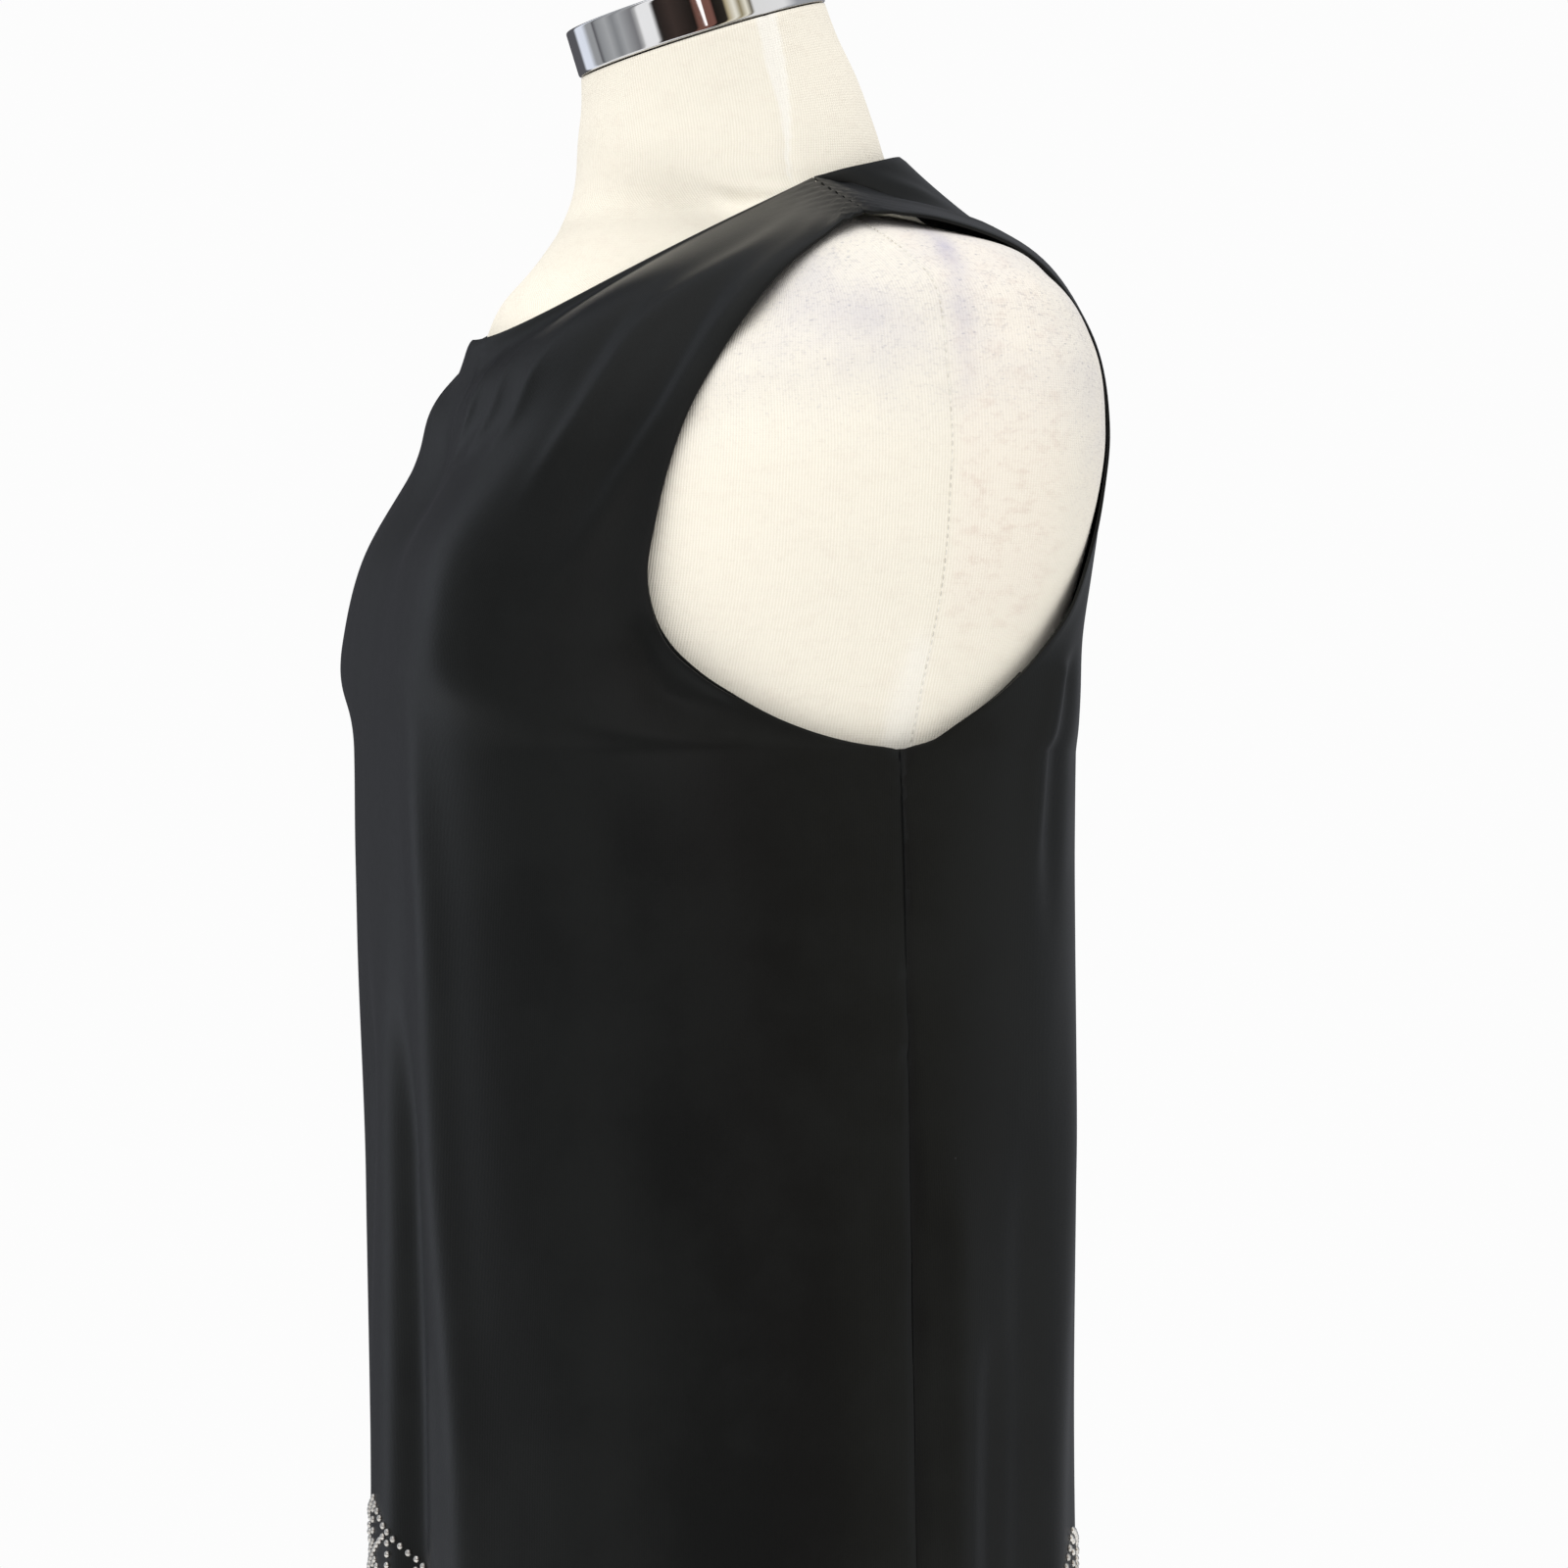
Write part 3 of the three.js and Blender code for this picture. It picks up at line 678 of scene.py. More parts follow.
def knit_group():
    """Knitted loops on a UV map in metres: a height, and a mask of the grooves for painted shade.
    """

    def fill(n, source):
        xy = n.add("ShaderNodeSeparateXYZ", {0: source["Place"]}).outputs
        turns = n.math("DIVIDE", 2 * math.pi, source["Pitch"])
        wobble = n.noise(source["Place"], 90.0, 2.0)
        drift = n.times(n.math("SUBTRACT", wobble, 0.5), source["Unevenness"])
        column = n.math("SINE", n.plus(n.times(xy[0], turns), drift))
        ladder = n.times(n.times(xy[1], turns), 1.35)
        row = n.math("SINE", n.plus(ladder, n.times(column, 1.1)))
        rib = n.math("MULTIPLY_ADD", column, 0.5, 0.5)
        loop = n.math("MULTIPLY_ADD", row, 0.5, 0.5)
        height = n.plus(n.times(rib, 0.7), n.times(loop, 0.3))
        # the groove mask is used to paint shade into the grooves between the ribs
        return {"Height": height, "Groove shade": n.math("SUBTRACT", 1.0, rib)}

    return group(
        "knitted loops",
        [("Place", VECTOR, None), ("Pitch", NUMBER, 0.0012), ("Unevenness", NUMBER, 1.2)],
        [("Height", NUMBER), ("Groove shade", NUMBER)],
        fill,
    )


def lint_group():
    """Small specks that sit on cloth: a mask of scattered spots."""

    def fill(n, source):
        cells = n.add(
            "ShaderNodeTexVoronoi", {"Vector": source["Place"], "Scale": source["Scale"]},
        ).outputs
        pick = n.add("ShaderNodeSeparateColor", {0: cells["Color"]}).outputs
        kept = n.math("GREATER_THAN", pick[0], n.math("SUBTRACT", 1.0, source["Share"]))
        size = n.math("MULTIPLY_ADD", pick[1], 0.6, 0.4)
        reach = n.times(source["Size"], size)
        near = n.math("SUBTRACT", 1.0, n.math("DIVIDE", cells["Distance"], reach), clamp=True)
        return {"Spots": n.times(kept, n.math("POWER", near, 0.6))}

    return group(
        "lint",
        [("Place", VECTOR, None), ("Scale", NUMBER, 160.0), ("Share", NUMBER, 0.3),
         ("Size", NUMBER, 0.25)],
        [("Spots", NUMBER)],
        fill,
    )


def clouds_group():
    """Slow uneven tone, from 0 to 1, for dye, wear and fingerprints."""

    def fill(n, source):
        wide = n.add(
            "ShaderNodeTexNoise",
            {"Vector": source["Place"], "Scale": source["Scale"], "Detail": 5.0,
             "Roughness": 0.6},
        ).outputs[0]
        return {"Tone": n.span(wide, source["Low"], source["High"])}

    return group(
        "clouds",
        [("Place", VECTOR, None), ("Scale", NUMBER, 9.0), ("Low", NUMBER, 0.35),
         ("High", NUMBER, 0.65)],
        [("Tone", NUMBER)],
        fill,
    )


def material(name, build, **surface):
    """Material with a Principled surface: constants set on its sockets, the rest built."""
    made = bpy.data.materials.new(name)
    made.use_nodes = True
    n = Nodes(made.node_tree)
    shader = made.node_tree.nodes["Principled BSDF"]
    for key, value in surface.items():
        shader.inputs[key.replace("_", " ")].default_value = value
    for key, socket in build(n).items():
        made.node_tree.links.new(socket, shader.inputs[key])
    return made


def object_place(n):
    """Object coordinates, in metres."""
    return n.add("ShaderNodeTexCoord").outputs["Object"]


def bump(n, height, depth, strength=1.0, below=None):
    """Normal bent by a height of 0 to 1 that stands for a depth in metres."""
    links = {"Strength": strength, "Distance": depth, "Height": height}
    if below is not None:
        links["Normal"] = below
    return n.add("ShaderNodeBump", links).outputs[0]


def jersey_material(name="jersey", wrong_side=False):
    """Matte black jersey with a faint blue sheen, fine loops with painted shade in their grooves,
    and a little lint.
    """
    s = bpy.context.scene.dress_settings

    def build(n):
        place = n.add("ShaderNodeUVMap", uv_map="flat").outputs[0]
        body = object_place(n)
        knit = use(n, knit_group(), Place=place, Pitch=0.0009, Unevenness=1.6)
        tone = use(n, clouds_group(), Place=body, Scale=14.0)["Tone"]
        lint = use(n, lint_group(), Place=body, Scale=95.0, Share=0.05, Size=0.045)["Spots"]
        deep = tuple(c * 0.78 for c in s.jersey)
        dyed = n.mix(tone, deep, tuple(c * 1.15 for c in s.jersey))
        # painted shade: the knit's grooves are darkened in the base colour
        ground = n.mix(n.times(knit["Groove shade"], 0.35), dyed, (0.004, 0.004, 0.005))
        dusty = n.mix(n.times(lint, 0.5), ground, (0.06, 0.06, 0.065))
        rough = n.span(tone, 0.0, 1.0, 0.37, 0.42)
        fuzz = n.noise(body, 700.0, 3.0)
        normal = bump(n, knit["Height"], 0.00005, 0.5)
        normal = bump(n, fuzz, 0.00012, 0.4, normal)
        return {"Base Color": dusty, "Roughness": rough, "Normal": normal}

    return material(
        name, build, Specular_IOR_Level=0.12 if wrong_side else 0.165,
        Sheen_Weight=0.012, Sheen_Roughness=0.4, Sheen_Tint=(*s.sheen, 1),
    )


def bead_material():
    """Polished pewter, a little darker in places."""
    s = bpy.context.scene.dress_settings

    def build(n):
        tone = use(n, clouds_group(), Place=object_place(n), Scale=60.0)["Tone"]
        metal = n.mix(tone, tuple(c * 0.72 for c in s.bead_metal), s.bead_metal)
        return {"Base Color": metal, "Roughness": n.span(tone, 0.0, 1.0, 0.36, 0.24)}

    return material("bead", build, Metallic=1.0)


def cover_material():
    """Cream ribbed knit with painted shade in its grooves, rubbed and specked on the shoulders,
    marked by dye at the seam.
    """
    s = bpy.context.scene.form_settings

    def build(n):
        place = n.add("ShaderNodeUVMap", uv_map="flat").outputs[0]
        body = object_place(n)
        worn, dye, tape, pink = (
            n.add("ShaderNodeAttribute", attribute_name=key).outputs["Fac"]
            for key in ("worn", "dye", "tape", "pink")
        )
        knit = use(n, knit_group(), Place=place, Pitch=s.rib, Unevenness=1.0)
        cloud = use(n, clouds_group(), Place=body, Scale=26.0, Low=0.3, High=0.7)["Tone"]
        drawn = n.add("ShaderNodeMapping", {"Vector": body, "Scale": (1.0, 1.0, 1.8)}).outputs[0]
        pull = use(n, clouds_group(), Place=drawn, Scale=130.0, Low=0.46, High=0.72)["Tone"]
        specks = use(n, lint_group(), Place=drawn, Scale=290.0, Share=0.5, Size=0.26)["Spots"]
        fluff = n.span(n.noise(drawn, 520.0, 3.0), 0.5, 0.72)
        uneven = n.math("MULTIPLY_ADD", cloud, 0.6, 0.4)
        grit = n.math("ADD", specks, n.times(fluff, 0.45), clamp=True)
        ground = s.cover
        for share, shade in (
            # painted shade: the grooves between the ribs are darkened
            (n.times(knit["Groove shade"], 0.30), (0.66, 0.60, 0.46)),
            (n.times(pull, n.math("MULTIPLY_ADD", pink, 0.22, 0.06)), (0.60, 0.44, 0.36)),
            (n.times(pink, 0.16), (0.88, 0.74, 0.68)),
            (n.times(n.times(worn, uneven), 0.75), s.worn),
            (n.times(grit, n.math("MULTIPLY_ADD", worn, 0.62, 0.035)), (0.34, 0.34, 0.39)),
            (n.times(dye, uneven), s.stain),
            (n.times(tape, 0.85), (0.97, 0.96, 0.93)),
        ):
            ground = n.mix(share, ground, shade)
        rough = n.span(cloud, 0.0, 1.0, 0.82, 0.94)
        height = n.plus(knit["Height"], n.times(pull, 0.6))
        height = n.plus(height, n.times(grit, n.times(worn, 1.2)))
        return {"Base Color": ground, "Roughness": rough, "Normal": bump(n, height, 0.0004, 0.5)}

    return material(
        "form_cover", build, Specular_IOR_Level=0.25, Sheen_Weight=0.12, Sheen_Roughness=0.5,
    )


def thread_material():
    """Pale sewing thread."""

    def build(n):
        tone = use(n, clouds_group(), Place=object_place(n), Scale=220.0)["Tone"]
        return {"Base Color": n.mix(tone, (0.62, 0.59, 0.52), (0.86, 0.84, 0.78))}

    return material("thread", build, Roughness=0.7)


def chrome_material(name, tint, smooth_rough, smear_rough, brushed):
    """Chrome with faint smears, and lines round the piece where it is brushed."""

    def build(n):
        body = object_place(n)
        smear = use(n, clouds_group(), Place=body, Scale=30.0, Low=0.4, High=0.75)["Tone"]
        lines = n.add("ShaderNodeMapping", {"Vector": body, "Scale": (4.0, 4.0, 900.0)})
        grain = n.noise(lines.outputs[0], 1.0, 3.0)
        metal = n.mix(n.times(smear, 0.3), tint, tuple(c * 0.86 for c in tint))
        rough = n.span(smear, 0.0, 1.0, smooth_rough, smear_rough)
        return {
            "Base Color": metal,
            "Roughness": rough,
            "Normal": bump(n, grain, 0.0001, brushed),
        }

    return material(name, build, Metallic=1.0)


# --------------------------------------------------------------------- pieces: dress


def finish_piece(piece, finish, replaced=None):
    """Puts a piece on the one body of the frame, with its material and the node it replaces."""
    piece.data.materials.append(finish)
    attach(piece, "root")
    if replaced:
        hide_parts(replaced)


def wall(piece, thickness, edge_radius):
    """Gives a sheet its thickness and softens its rim."""
    solid = piece.modifiers.new("wall", "SOLIDIFY")
    solid.thickness = thickness
    solid.offset = 0
    round_off = piece.modifiers.new("turned edge", "BEVEL")
    round_off.width = edge_radius
    round_off.segments = 2
    round_off.limit_method = "ANGLE"
    round_off.angle_limit = math.radians(60)


class DRESS_OT_panels(bpy.types.Operator):
    """Front and back panels of black jersey, with their folds, seams and turned edges"""

    bl_idname = "dress.panels"
    bl_label = "Dress panels"

    # Cut of each panel: width across the hem, length, and flat area.
    CUT = {"front": (0.60, 1.019, 0.49), "back": (0.51, 1.031, 0.42)}

    def execute(self, context):
        s = context.scene.dress_settings
        jersey = jersey_material()
        for side, panel in panels().items():
            mesh = mapped_grid(f"{side}_panel_jersey", panel.points * MM, panel.flat * MM)
            piece = link(mesh, f"{side}_panel_jersey")
            wall(piece, s.cloth, s.cloth * 0.35)
            finish_piece(piece, jersey, f"{side}_panel")
            width, tall, area = self.CUT[side]
        return {"FINISHED"}


FACING_TOPS = {"front": 1296, "back": 1224}
FACING_WIDTH = 11
FACING_DEPTH = 2.05  # from the cloth's middle surface to the facing's
FACING_PROUD = 0.9
FACING_WALL = 0.001  # in metres


class DRESS_OT_facings(bpy.types.Operator):
    """Facings that turn in at the lower half of each armhole"""

    bl_idname = "dress.facings"
    bl_label = "Armhole facings"

    # Cloth that a facing can lie against: least distance to one side, lowest and highest.
    NEAR_X = 100
    NEAR_Z = (ARMHOLE_Z - 25, 1320)

    def edge(self, side):
        """Armhole edge, front to back, with the cloth's normal at each point."""
        column = -1 if side > 0 else 0
        points, normals = [], []
        for name, order in (("front", -1), ("back", 1)):
            panel = panels()[name]
            rows = np.flatnonzero(
                (panel.levels >= ARMHOLE_Z) & (panel.levels <= FACING_TOPS[name])
            )[::order]
            points.append(panel.points[rows, column])
            normals.append(panel.outward[rows, column])
        return np.concatenate(points), np.concatenate(normals)

    def cloth_near(self, side):
        """Points of both panels round one armhole, with their normals."""
        cloth = np.concatenate([p.points.reshape(-1, 3) for p in panels().values()])
        faces = np.concatenate([p.outward.reshape(-1, 3) for p in panels().values()])
        near = cloth[:, 0] * side > self.NEAR_X
        near &= (cloth[:, 2] > self.NEAR_Z[0]) & (cloth[:, 2] < self.NEAR_Z[1])
        return cloth[near], faces[near]

    def strip(self, edge, normal, side):
        """Rows of the facing, from just past the edge to its inner rim, under the cloth."""
        along = np.gradient(edge, axis=0)
        along /= np.linalg.norm(along, axis=1, keepdims=True)
        into = np.cross(along, normal) * side
        into /= np.linalg.norm(into, axis=1, keepdims=True)
        cloth, faces = self.cloth_near(side)
        station = np.linspace(0, 1, len(edge))
        tucked = 2.2 - smooth(station / 0.2) - smooth((1 - station) / 0.2)
        rows = []
        for w in np.linspace(-FACING_PROUD, FACING_WIDTH, 7):
            target = edge + into * (w + tucked[:, None] * (1 - w / FACING_WIDTH))
            facing = normal
            if w > 0:
                closest = np.linalg.norm(target[:, None] - cloth[None], axis=-1).argmin(axis=1)
                facing = faces[closest]
                lift = ((target - cloth[closest]) * facing).sum(axis=1, keepdims=True)
                target = target - facing * lift
            rows.append(target - facing * FACING_DEPTH)
        rows = np.array(rows)
        for _ in range(2):
            rows[:, 1:-1] = (rows[:, :-2] + 2 * rows[:, 1:-1] + rows[:, 2:]) / 4
        return rows

    def execute(self, context):
        jersey = jersey_material("jersey, wrong side", wrong_side=True)
        for side, word in ((1, "left"), (-1, "right")):
            edge, normal = self.edge(side)
            grid = self.strip(edge, normal, side)[:, ::side]
            run = np.pad(np.cumsum(np.linalg.norm(np.diff(edge, axis=0), axis=1)), (1, 0))
            flat = np.stack(np.meshgrid(run, np.linspace(0, FACING_WIDTH + 1, len(grid))), -1)
            name = f"armhole_facing_{word}_jersey"
            piece = link(mapped_grid(name, grid * MM, flat * MM), name)
            wall(piece, FACING_WALL, FACING_WALL * 0.3)
            finish_piece(piece, jersey, f"armhole_facing_{word}")
        return {"FINISHED"}


class BeadNet:
    """Net of bead lines round the skirt: upright and slanting lines that make triangles."""

    COLUMNS = 48
    TOOTH = 6  # columns from one point of the border to the next
    GAUGE = 60  # mm below the points, where the skirt's width is shared out in columns
    BEADS = 5  # bead steps along each side of a triangle

    def __init__(self, peak, depth, pitch):
        self.cell = pitch * self.BEADS
        self.step = self.cell / 2
        self.peak = peak
        self.depth = depth
        mid = np.searchsorted(panels()["front"].levels, peak / MM - self.GAUGE)
        self.halves = [panels()[side].flat[mid, -1, 0] for side in ("front", "back")]

    def border(self, column):
        """Height of the upper border under the highest points: a zigzag."""
        into = column % self.TOOTH
        return -min(into, self.TOOTH - into) * self.step

    def inside(self, column, drop):
        """Whether a crossing lies between the upper border and the lower one."""
        top = self.border(column % self.COLUMNS)
        bottom = -self.depth - top
        return bottom - 1e-9 <= drop <= top + 1e-9

    def lines(self):
        """Ends of every line between two neighbouring crossings, as (column, drop)."""
        for column in range(self.COLUMNS):
            for k in range(column % 2, int(round(self.depth / self.step)) + 1, 2):
                drop = -k * self.step
                for on, down in ((0, self.cell), (1, self.step), (-1, self.step)):
                    ends = (column, drop), (column + on, drop - down)
                    if self.inside(*ends[0]) and self.inside(*ends[1]):
                        yield ends

    def beads(self):
        """Places of the beads, without doubles: (share of the way round, drop)."""
        found = {}
        for a, b in self.lines():
            for t in np.arange(self.BEADS + 1) / self.BEADS:
                column = (a[0] + (b[0] - a[0]) * t) % self.COLUMNS
                drop = a[1] + (b[1] - a[1]) * t
                found[(round(column, 3), round(drop, 5))] = (column, drop)
        return [found[key] for key in sorted(found)]

    def sag(self, column):
        """How much lower the net hangs over the hips than at the front and back."""
        turn = abs((column / self.COLUMNS * 360 + 180) % 360 - 180)
        return 0.014 * float(smooth((turn - 18) / 24) * smooth((150 - turn) / 40))


class DRESS_OT_beads(bpy.types.Operator):
    """Net of small metal beads sewn round the skirt"""

    bl_idname = "dress.beads"
    bl_label = "Bead net"

    def bead(self, width):
        """One domed bead with a rolled foot, its back on z = 0."""
        bm = bmesh.new()
        bmesh.ops.create_uvsphere(bm, u_segments=8, v_segments=6, radius=width / 2)
        bmesh.ops.bisect_plane(
            bm, geom=bm.verts[:] + bm.edges[:] + bm.faces[:], plane_co=(0, 0, -width * 0.12),
            plane_no=(0, 0, -1), clear_outer=True,
        )
        rim = [e for e in bm.edges if e.is_boundary]
        bmesh.ops.contextual_create(bm, geom=rim)
        bmesh.ops.scale(bm, verts=bm.verts, vec=(1, 1, 0.86))
        bmesh.ops.translate(bm, verts=bm.verts, vec=(0, 0, width * 0.1))
        bmesh.ops.recalc_face_normals(bm, faces=bm.faces)
        return to_mesh("bead", bm)

    def execute(self, context):
        s = context.scene.dress_settings
        net = BeadNet(s.net_peak, s.net_depth, s.bead_pitch)
        random = np.random.default_rng(21)
        places = {"front": [], "back": []}
        front_half, back_half = net.halves
        whole = 2 * (front_half + back_half)
        for column, drop in net.beads():
            across = column / net.COLUMNS * whole
            z = (net.peak - net.sag(column) + drop) / MM
            across += random.normal(0, 0.12)
            z += random.normal(0, 0.12)
            if across > whole / 2:
                across -= whole
            side = "front" if abs(across) <= front_half else "back"
            if side == "back":
                across = math.copysign(whole / 2 - abs(across), across)
            panel = panels()[side]
            point, normal = panel.place(across, z)
            turn = Vector(normal).to_track_quat("Z", "Y").to_matrix().to_4x4()
            lifted = Vector((point + normal * (s.cloth / MM / 2 - 0.1)) * MM)
            size = 1 + random.normal(0, 0.025)
            spin = Matrix.Rotation(random.uniform(0, 6.28), 4, "Z")
            places[side].append(
                Matrix.Translation(lifted) @ turn @ spin @ Matrix.Scale(size, 4)
            )
        metal = bead_material()
        for side, spots in places.items():
            mesh = scatter(f"bead_net_{side}", self.bead(s.bead), spots)
            finish_piece(link(mesh, f"bead_net_{side}"), metal)
        return {"FINISHED"}


# ---------------------------------------------------------------------- pieces: form


class Cover:
    """The form's knitted cover as a grid: rows up, columns round from the back."""

    COLUMNS = 221
    ROWS = 250

    def __init__(self):
        low = np.linspace(TORSO_BOTTOM, 1150, 60, endpoint=False)
        high = np.linspace(1150, TORSO_RINGS[-1, 0], self.ROWS - 60)
        self.z = np.concatenate([low, high])
        self.turn = np.linspace(-math.pi, math.pi, self.COLUMNS)
        z, turn = np.meshgrid(self.z, self.turn, indexing="ij")
        self.points = torso_point(z.ravel(), turn.ravel()).reshape(*z.shape, 3)
        self.ease_neck()
        self.seam = math.pi / 2 + np.radians(through(*zip(*SEAM_DRIFT), self.z))[:, None]
        wide = np.linalg.norm(np.diff(self.points, axis=1), axis=-1)
        self.run = np.pad(np.cumsum(wide, 1), ((0, 0), (1, 0)))
        self.from_left = self.distance(self.seam)
        self.from_right = self.distance(-self.seam)

    def ease_neck(self):
        """Draws the cover smoothly from the chest into the neck, in front of the neckline."""
        ahead = smooth((72 - np.abs(np.degrees(self.turn))) / 25)
        height = smooth((self.z - 1350) / 10) * smooth((1412 - self.z) / 12)
        share = 0.5 * (height[:, None] * ahead)[1:-1, :, None]
        for _ in range(70):
            between = (self.points[:-2] + self.points[2:]) / 2
            self.points[1:-1] += share * (between - self.points[1:-1])

    def distance(self, seam):
        """Signed distance round the form, in mm, of each corner from a seam."""
        at = [np.interp(s, self.turn, run) for s, run in zip(seam[:, 0], self.run)]
        return self.run - np.array(at)[:, None]

    def normals(self):
        """Outward normals of the skin."""
        n = np.cross(np.gradient(self.points, axis=1), np.gradient(self.points, axis=0))
        return n / np.maximum(np.linalg.norm(n, axis=-1, keepdims=True), 1e-9)

    def skin(self):
        """Outer face: seam groove, the allowance under it, and the padding's unevenness."""
        height = np.zeros_like(self.run)
        for away in (self.from_left, self.from_right):
            height -= 0.55 * np.exp(-((away / 1.3) ** 2))
            height += 0.22 * np.exp(-(((np.abs(away) - 6) / 4) ** 2))
        z = np.broadcast_to(self.z[:, None], self.run.shape)
        height += 0.25 * np.sin(self.run * 0.05 + z * 0.021) * np.sin(z * 0.037)
        return self.points + self.normals() * height[..., None]

    def marks(self):
        """Worn, dyed and taped places, each from 0 to 1."""
        x, y, z = np.moveaxis(self.points, -1, 0)
        top = smooth((z - 1255) / 90) * smooth((np.abs(x) - 95) / 50)
        behind = smooth((y - 75) / 40) * smooth((z - 1215) / 60) * smooth((np.abs(x) - 80) / 50)
        worn = np.clip(top * 0.85 + behind * 0.6, 0, 1)
        streak = np.exp(-(((y - 43) / 4.5) ** 2)) * smooth((z - 1280) / 45)
        spot = np.exp(-(((y - 44) / 5) ** 2)) * np.exp(-(((z - 1350) / 8) ** 2))
        front_cloud = np.exp(-(((y - 7) / 25) ** 2)) * np.exp(-(((z - 1325) / 21) ** 2))
        pink = smooth(self.from_left / 6) * smooth((60 - self.from_left) / 25)
        pink = pink * smooth((z - 1190) / 40) * smooth((np.abs(x) - 80) / 40)
        dye = (0.42 * streak + 0.6 * spot + 0.34 * front_cloud) * smooth((x - 110) / 30)
        tape = np.zeros_like(z)
        for away in (self.from_left, -self.from_right):
            half = 0.8 + 3.8 * smooth((z - 1392) / 55)
            tape += 0.55 * smooth((half + 0.5 - np.abs(away)) / 1.0) * smooth((z - 1385) / 8)
            low = smooth((6.0 - np.abs(away + 5)) / 1.5) * smooth((1212 - z) / 18)
            tape += 0.35 * low * smooth((z - 1140) / 10)
        return {
            "worn": worn, "dye": np.clip(dye, 0, 1), "tape": np.clip(tape, 0, 1), "pink": pink,
        }


class DRESS_OT_form(bpy.types.Operator):
    """Padded torso in its ribbed knit cover, with its stitched seams"""

    bl_idname = "dress.form"
    bl_label = "Dress form"

    def stitches(self, cover, pitch):
        """Places of the stitches that run beside both seams."""
        skin = cover.skin()
        places = []
        for away in (cover.from_left, cover.from_right):
            line = np.array([
                [np.interp(0.0, row, skin[i, :, k]) for k in range(3)]
                for i, row in enumerate(away)
            ])
            line = line[(cover.z > TORSO_BOTTOM + 8) & (cover.z < SHOULDER_TIP[2] + 6)]
            run = np.pad(np.cumsum(np.linalg.norm(np.diff(line, axis=0), axis=1)), (1, 0))
            for s in np.arange(2.0, run[-1] - 2.0, pitch / MM):
                here, ahead = (
                    np.array([np.interp(t, run, line[:, k]) for k in range(3)])
                    for t in (s, s + 1.0)
                )
                along = Vector(ahead - here).normalized()
                outward = Vector((here[0], (here[1] - 20) * 0.35, 0)).normalized()
                outward = (outward - along * outward.dot(along)).normalized()
                across = outward.cross(along)
                turn = Matrix((along, across, outward)).transposed().to_4x4()
                place = Vector(here * MM) + outward * 0.00025
                places.append(Matrix.Translation(place) @ turn)
        return places

    def stitch(self, long, thick):
        """One stitch: a short thread that dips at both ends, lying along X."""
        bm = bmesh.new()
        bmesh.ops.create_cone(
            bm, cap_ends=True, segments=6, radius1=thick / 2, radius2=thick / 2, depth=long,
            matrix=Matrix.Rotation(math.pi / 2, 4, "Y"),
        )
        lengthwise = [e for e in bm.edges if abs(e.verts[0].co.x - e.verts[1].co.x) > long / 2]
        bmesh.ops.subdivide_edges(bm, edges=lengthwise, cuts=3)
        for v in bm.verts:
            v.co.z -= 1.1 * thick * (2 * v.co.x / long) ** 2
        return to_mesh("stitch", bm)

    def execute(self, context):
        s = context.scene.form_settings
        cover = Cover()
        skin = cover.skin()
        skin[:, -1] = skin[:, 0]
        place = np.where(cover.turn[None, :] >= 0, cover.from_left, -cover.from_right)
        flat = np.stack([place, np.broadcast_to(cover.z[:, None], place.shape)], -1)
        mesh = mapped_grid("form_cover", skin * MM, flat * MM, cover.marks())
        bm = bmesh.new()
        bm.from_mesh(mesh)
        bmesh.ops.remove_doubles(bm, verts=bm.verts, dist=1e-6)
        rims = [e for e in bm.edges if e.is_boundary]
        bmesh.ops.holes_fill(bm, edges=rims, sides=0)
        bm.to_mesh(mesh)
        bm.free()
        for face in mesh.polygons:
            face.use_smooth = len(face.vertices) < 5
        finish_piece(link(mesh, "form_cover"), cover_material(), "form_torso")
        places = self.stitches(cover, s.stitch)
        sewn = scatter("seam_stitches", self.stitch(0.0023, 0.0005), places)
        finish_piece(link(sewn, "seam_stitches"), thread_material())
        return {"FINISHED"}


class DRESS_OT_cap(bpy.types.Operator):
    """Polished chrome cap on the neck of the form"""

    bl_idname = "dress.cap"
    bl_label = "Neck cap"

    RADIUS = 52.5
    TALL = 19
    RIM = 9  # flat ring on top, round a shallow sunk disc
    SUNK = 1.2
    ROUNDING = 1.2

    def execute(self, context):
        tint = tuple(context.scene.form_settings.chrome)
        inner, sunk = self.RADIUS - self.RIM, self.TALL - self.SUNK
        band = rounded(
            [(0, 0), (self.RADIUS, 0), (self.RADIUS, self.TALL), (inner, self.TALL),
             (inner - 2, sunk), (0, sunk)],
            self.ROUNDING,
        )
        y = NECK_TOP[1] - FIT_GAP * math.sin(NECK_LEAN)
        z = NECK_TOP[2] + FIT_GAP * math.cos(NECK_LEAN)
        mesh = turned(
            "neck_cap_chrome", [(r * MM, h * MM) for r, h in band], 192,
            (0, y * MM, z * MM), NECK_LEAN,
        )
        polish = chrome_material("cap_chrome", tint, 0.03, 0.07, 0.0)
        finish_piece(link(mesh, "neck_cap_chrome"), polish, "neck_cap")
        return {"FINISHED"}


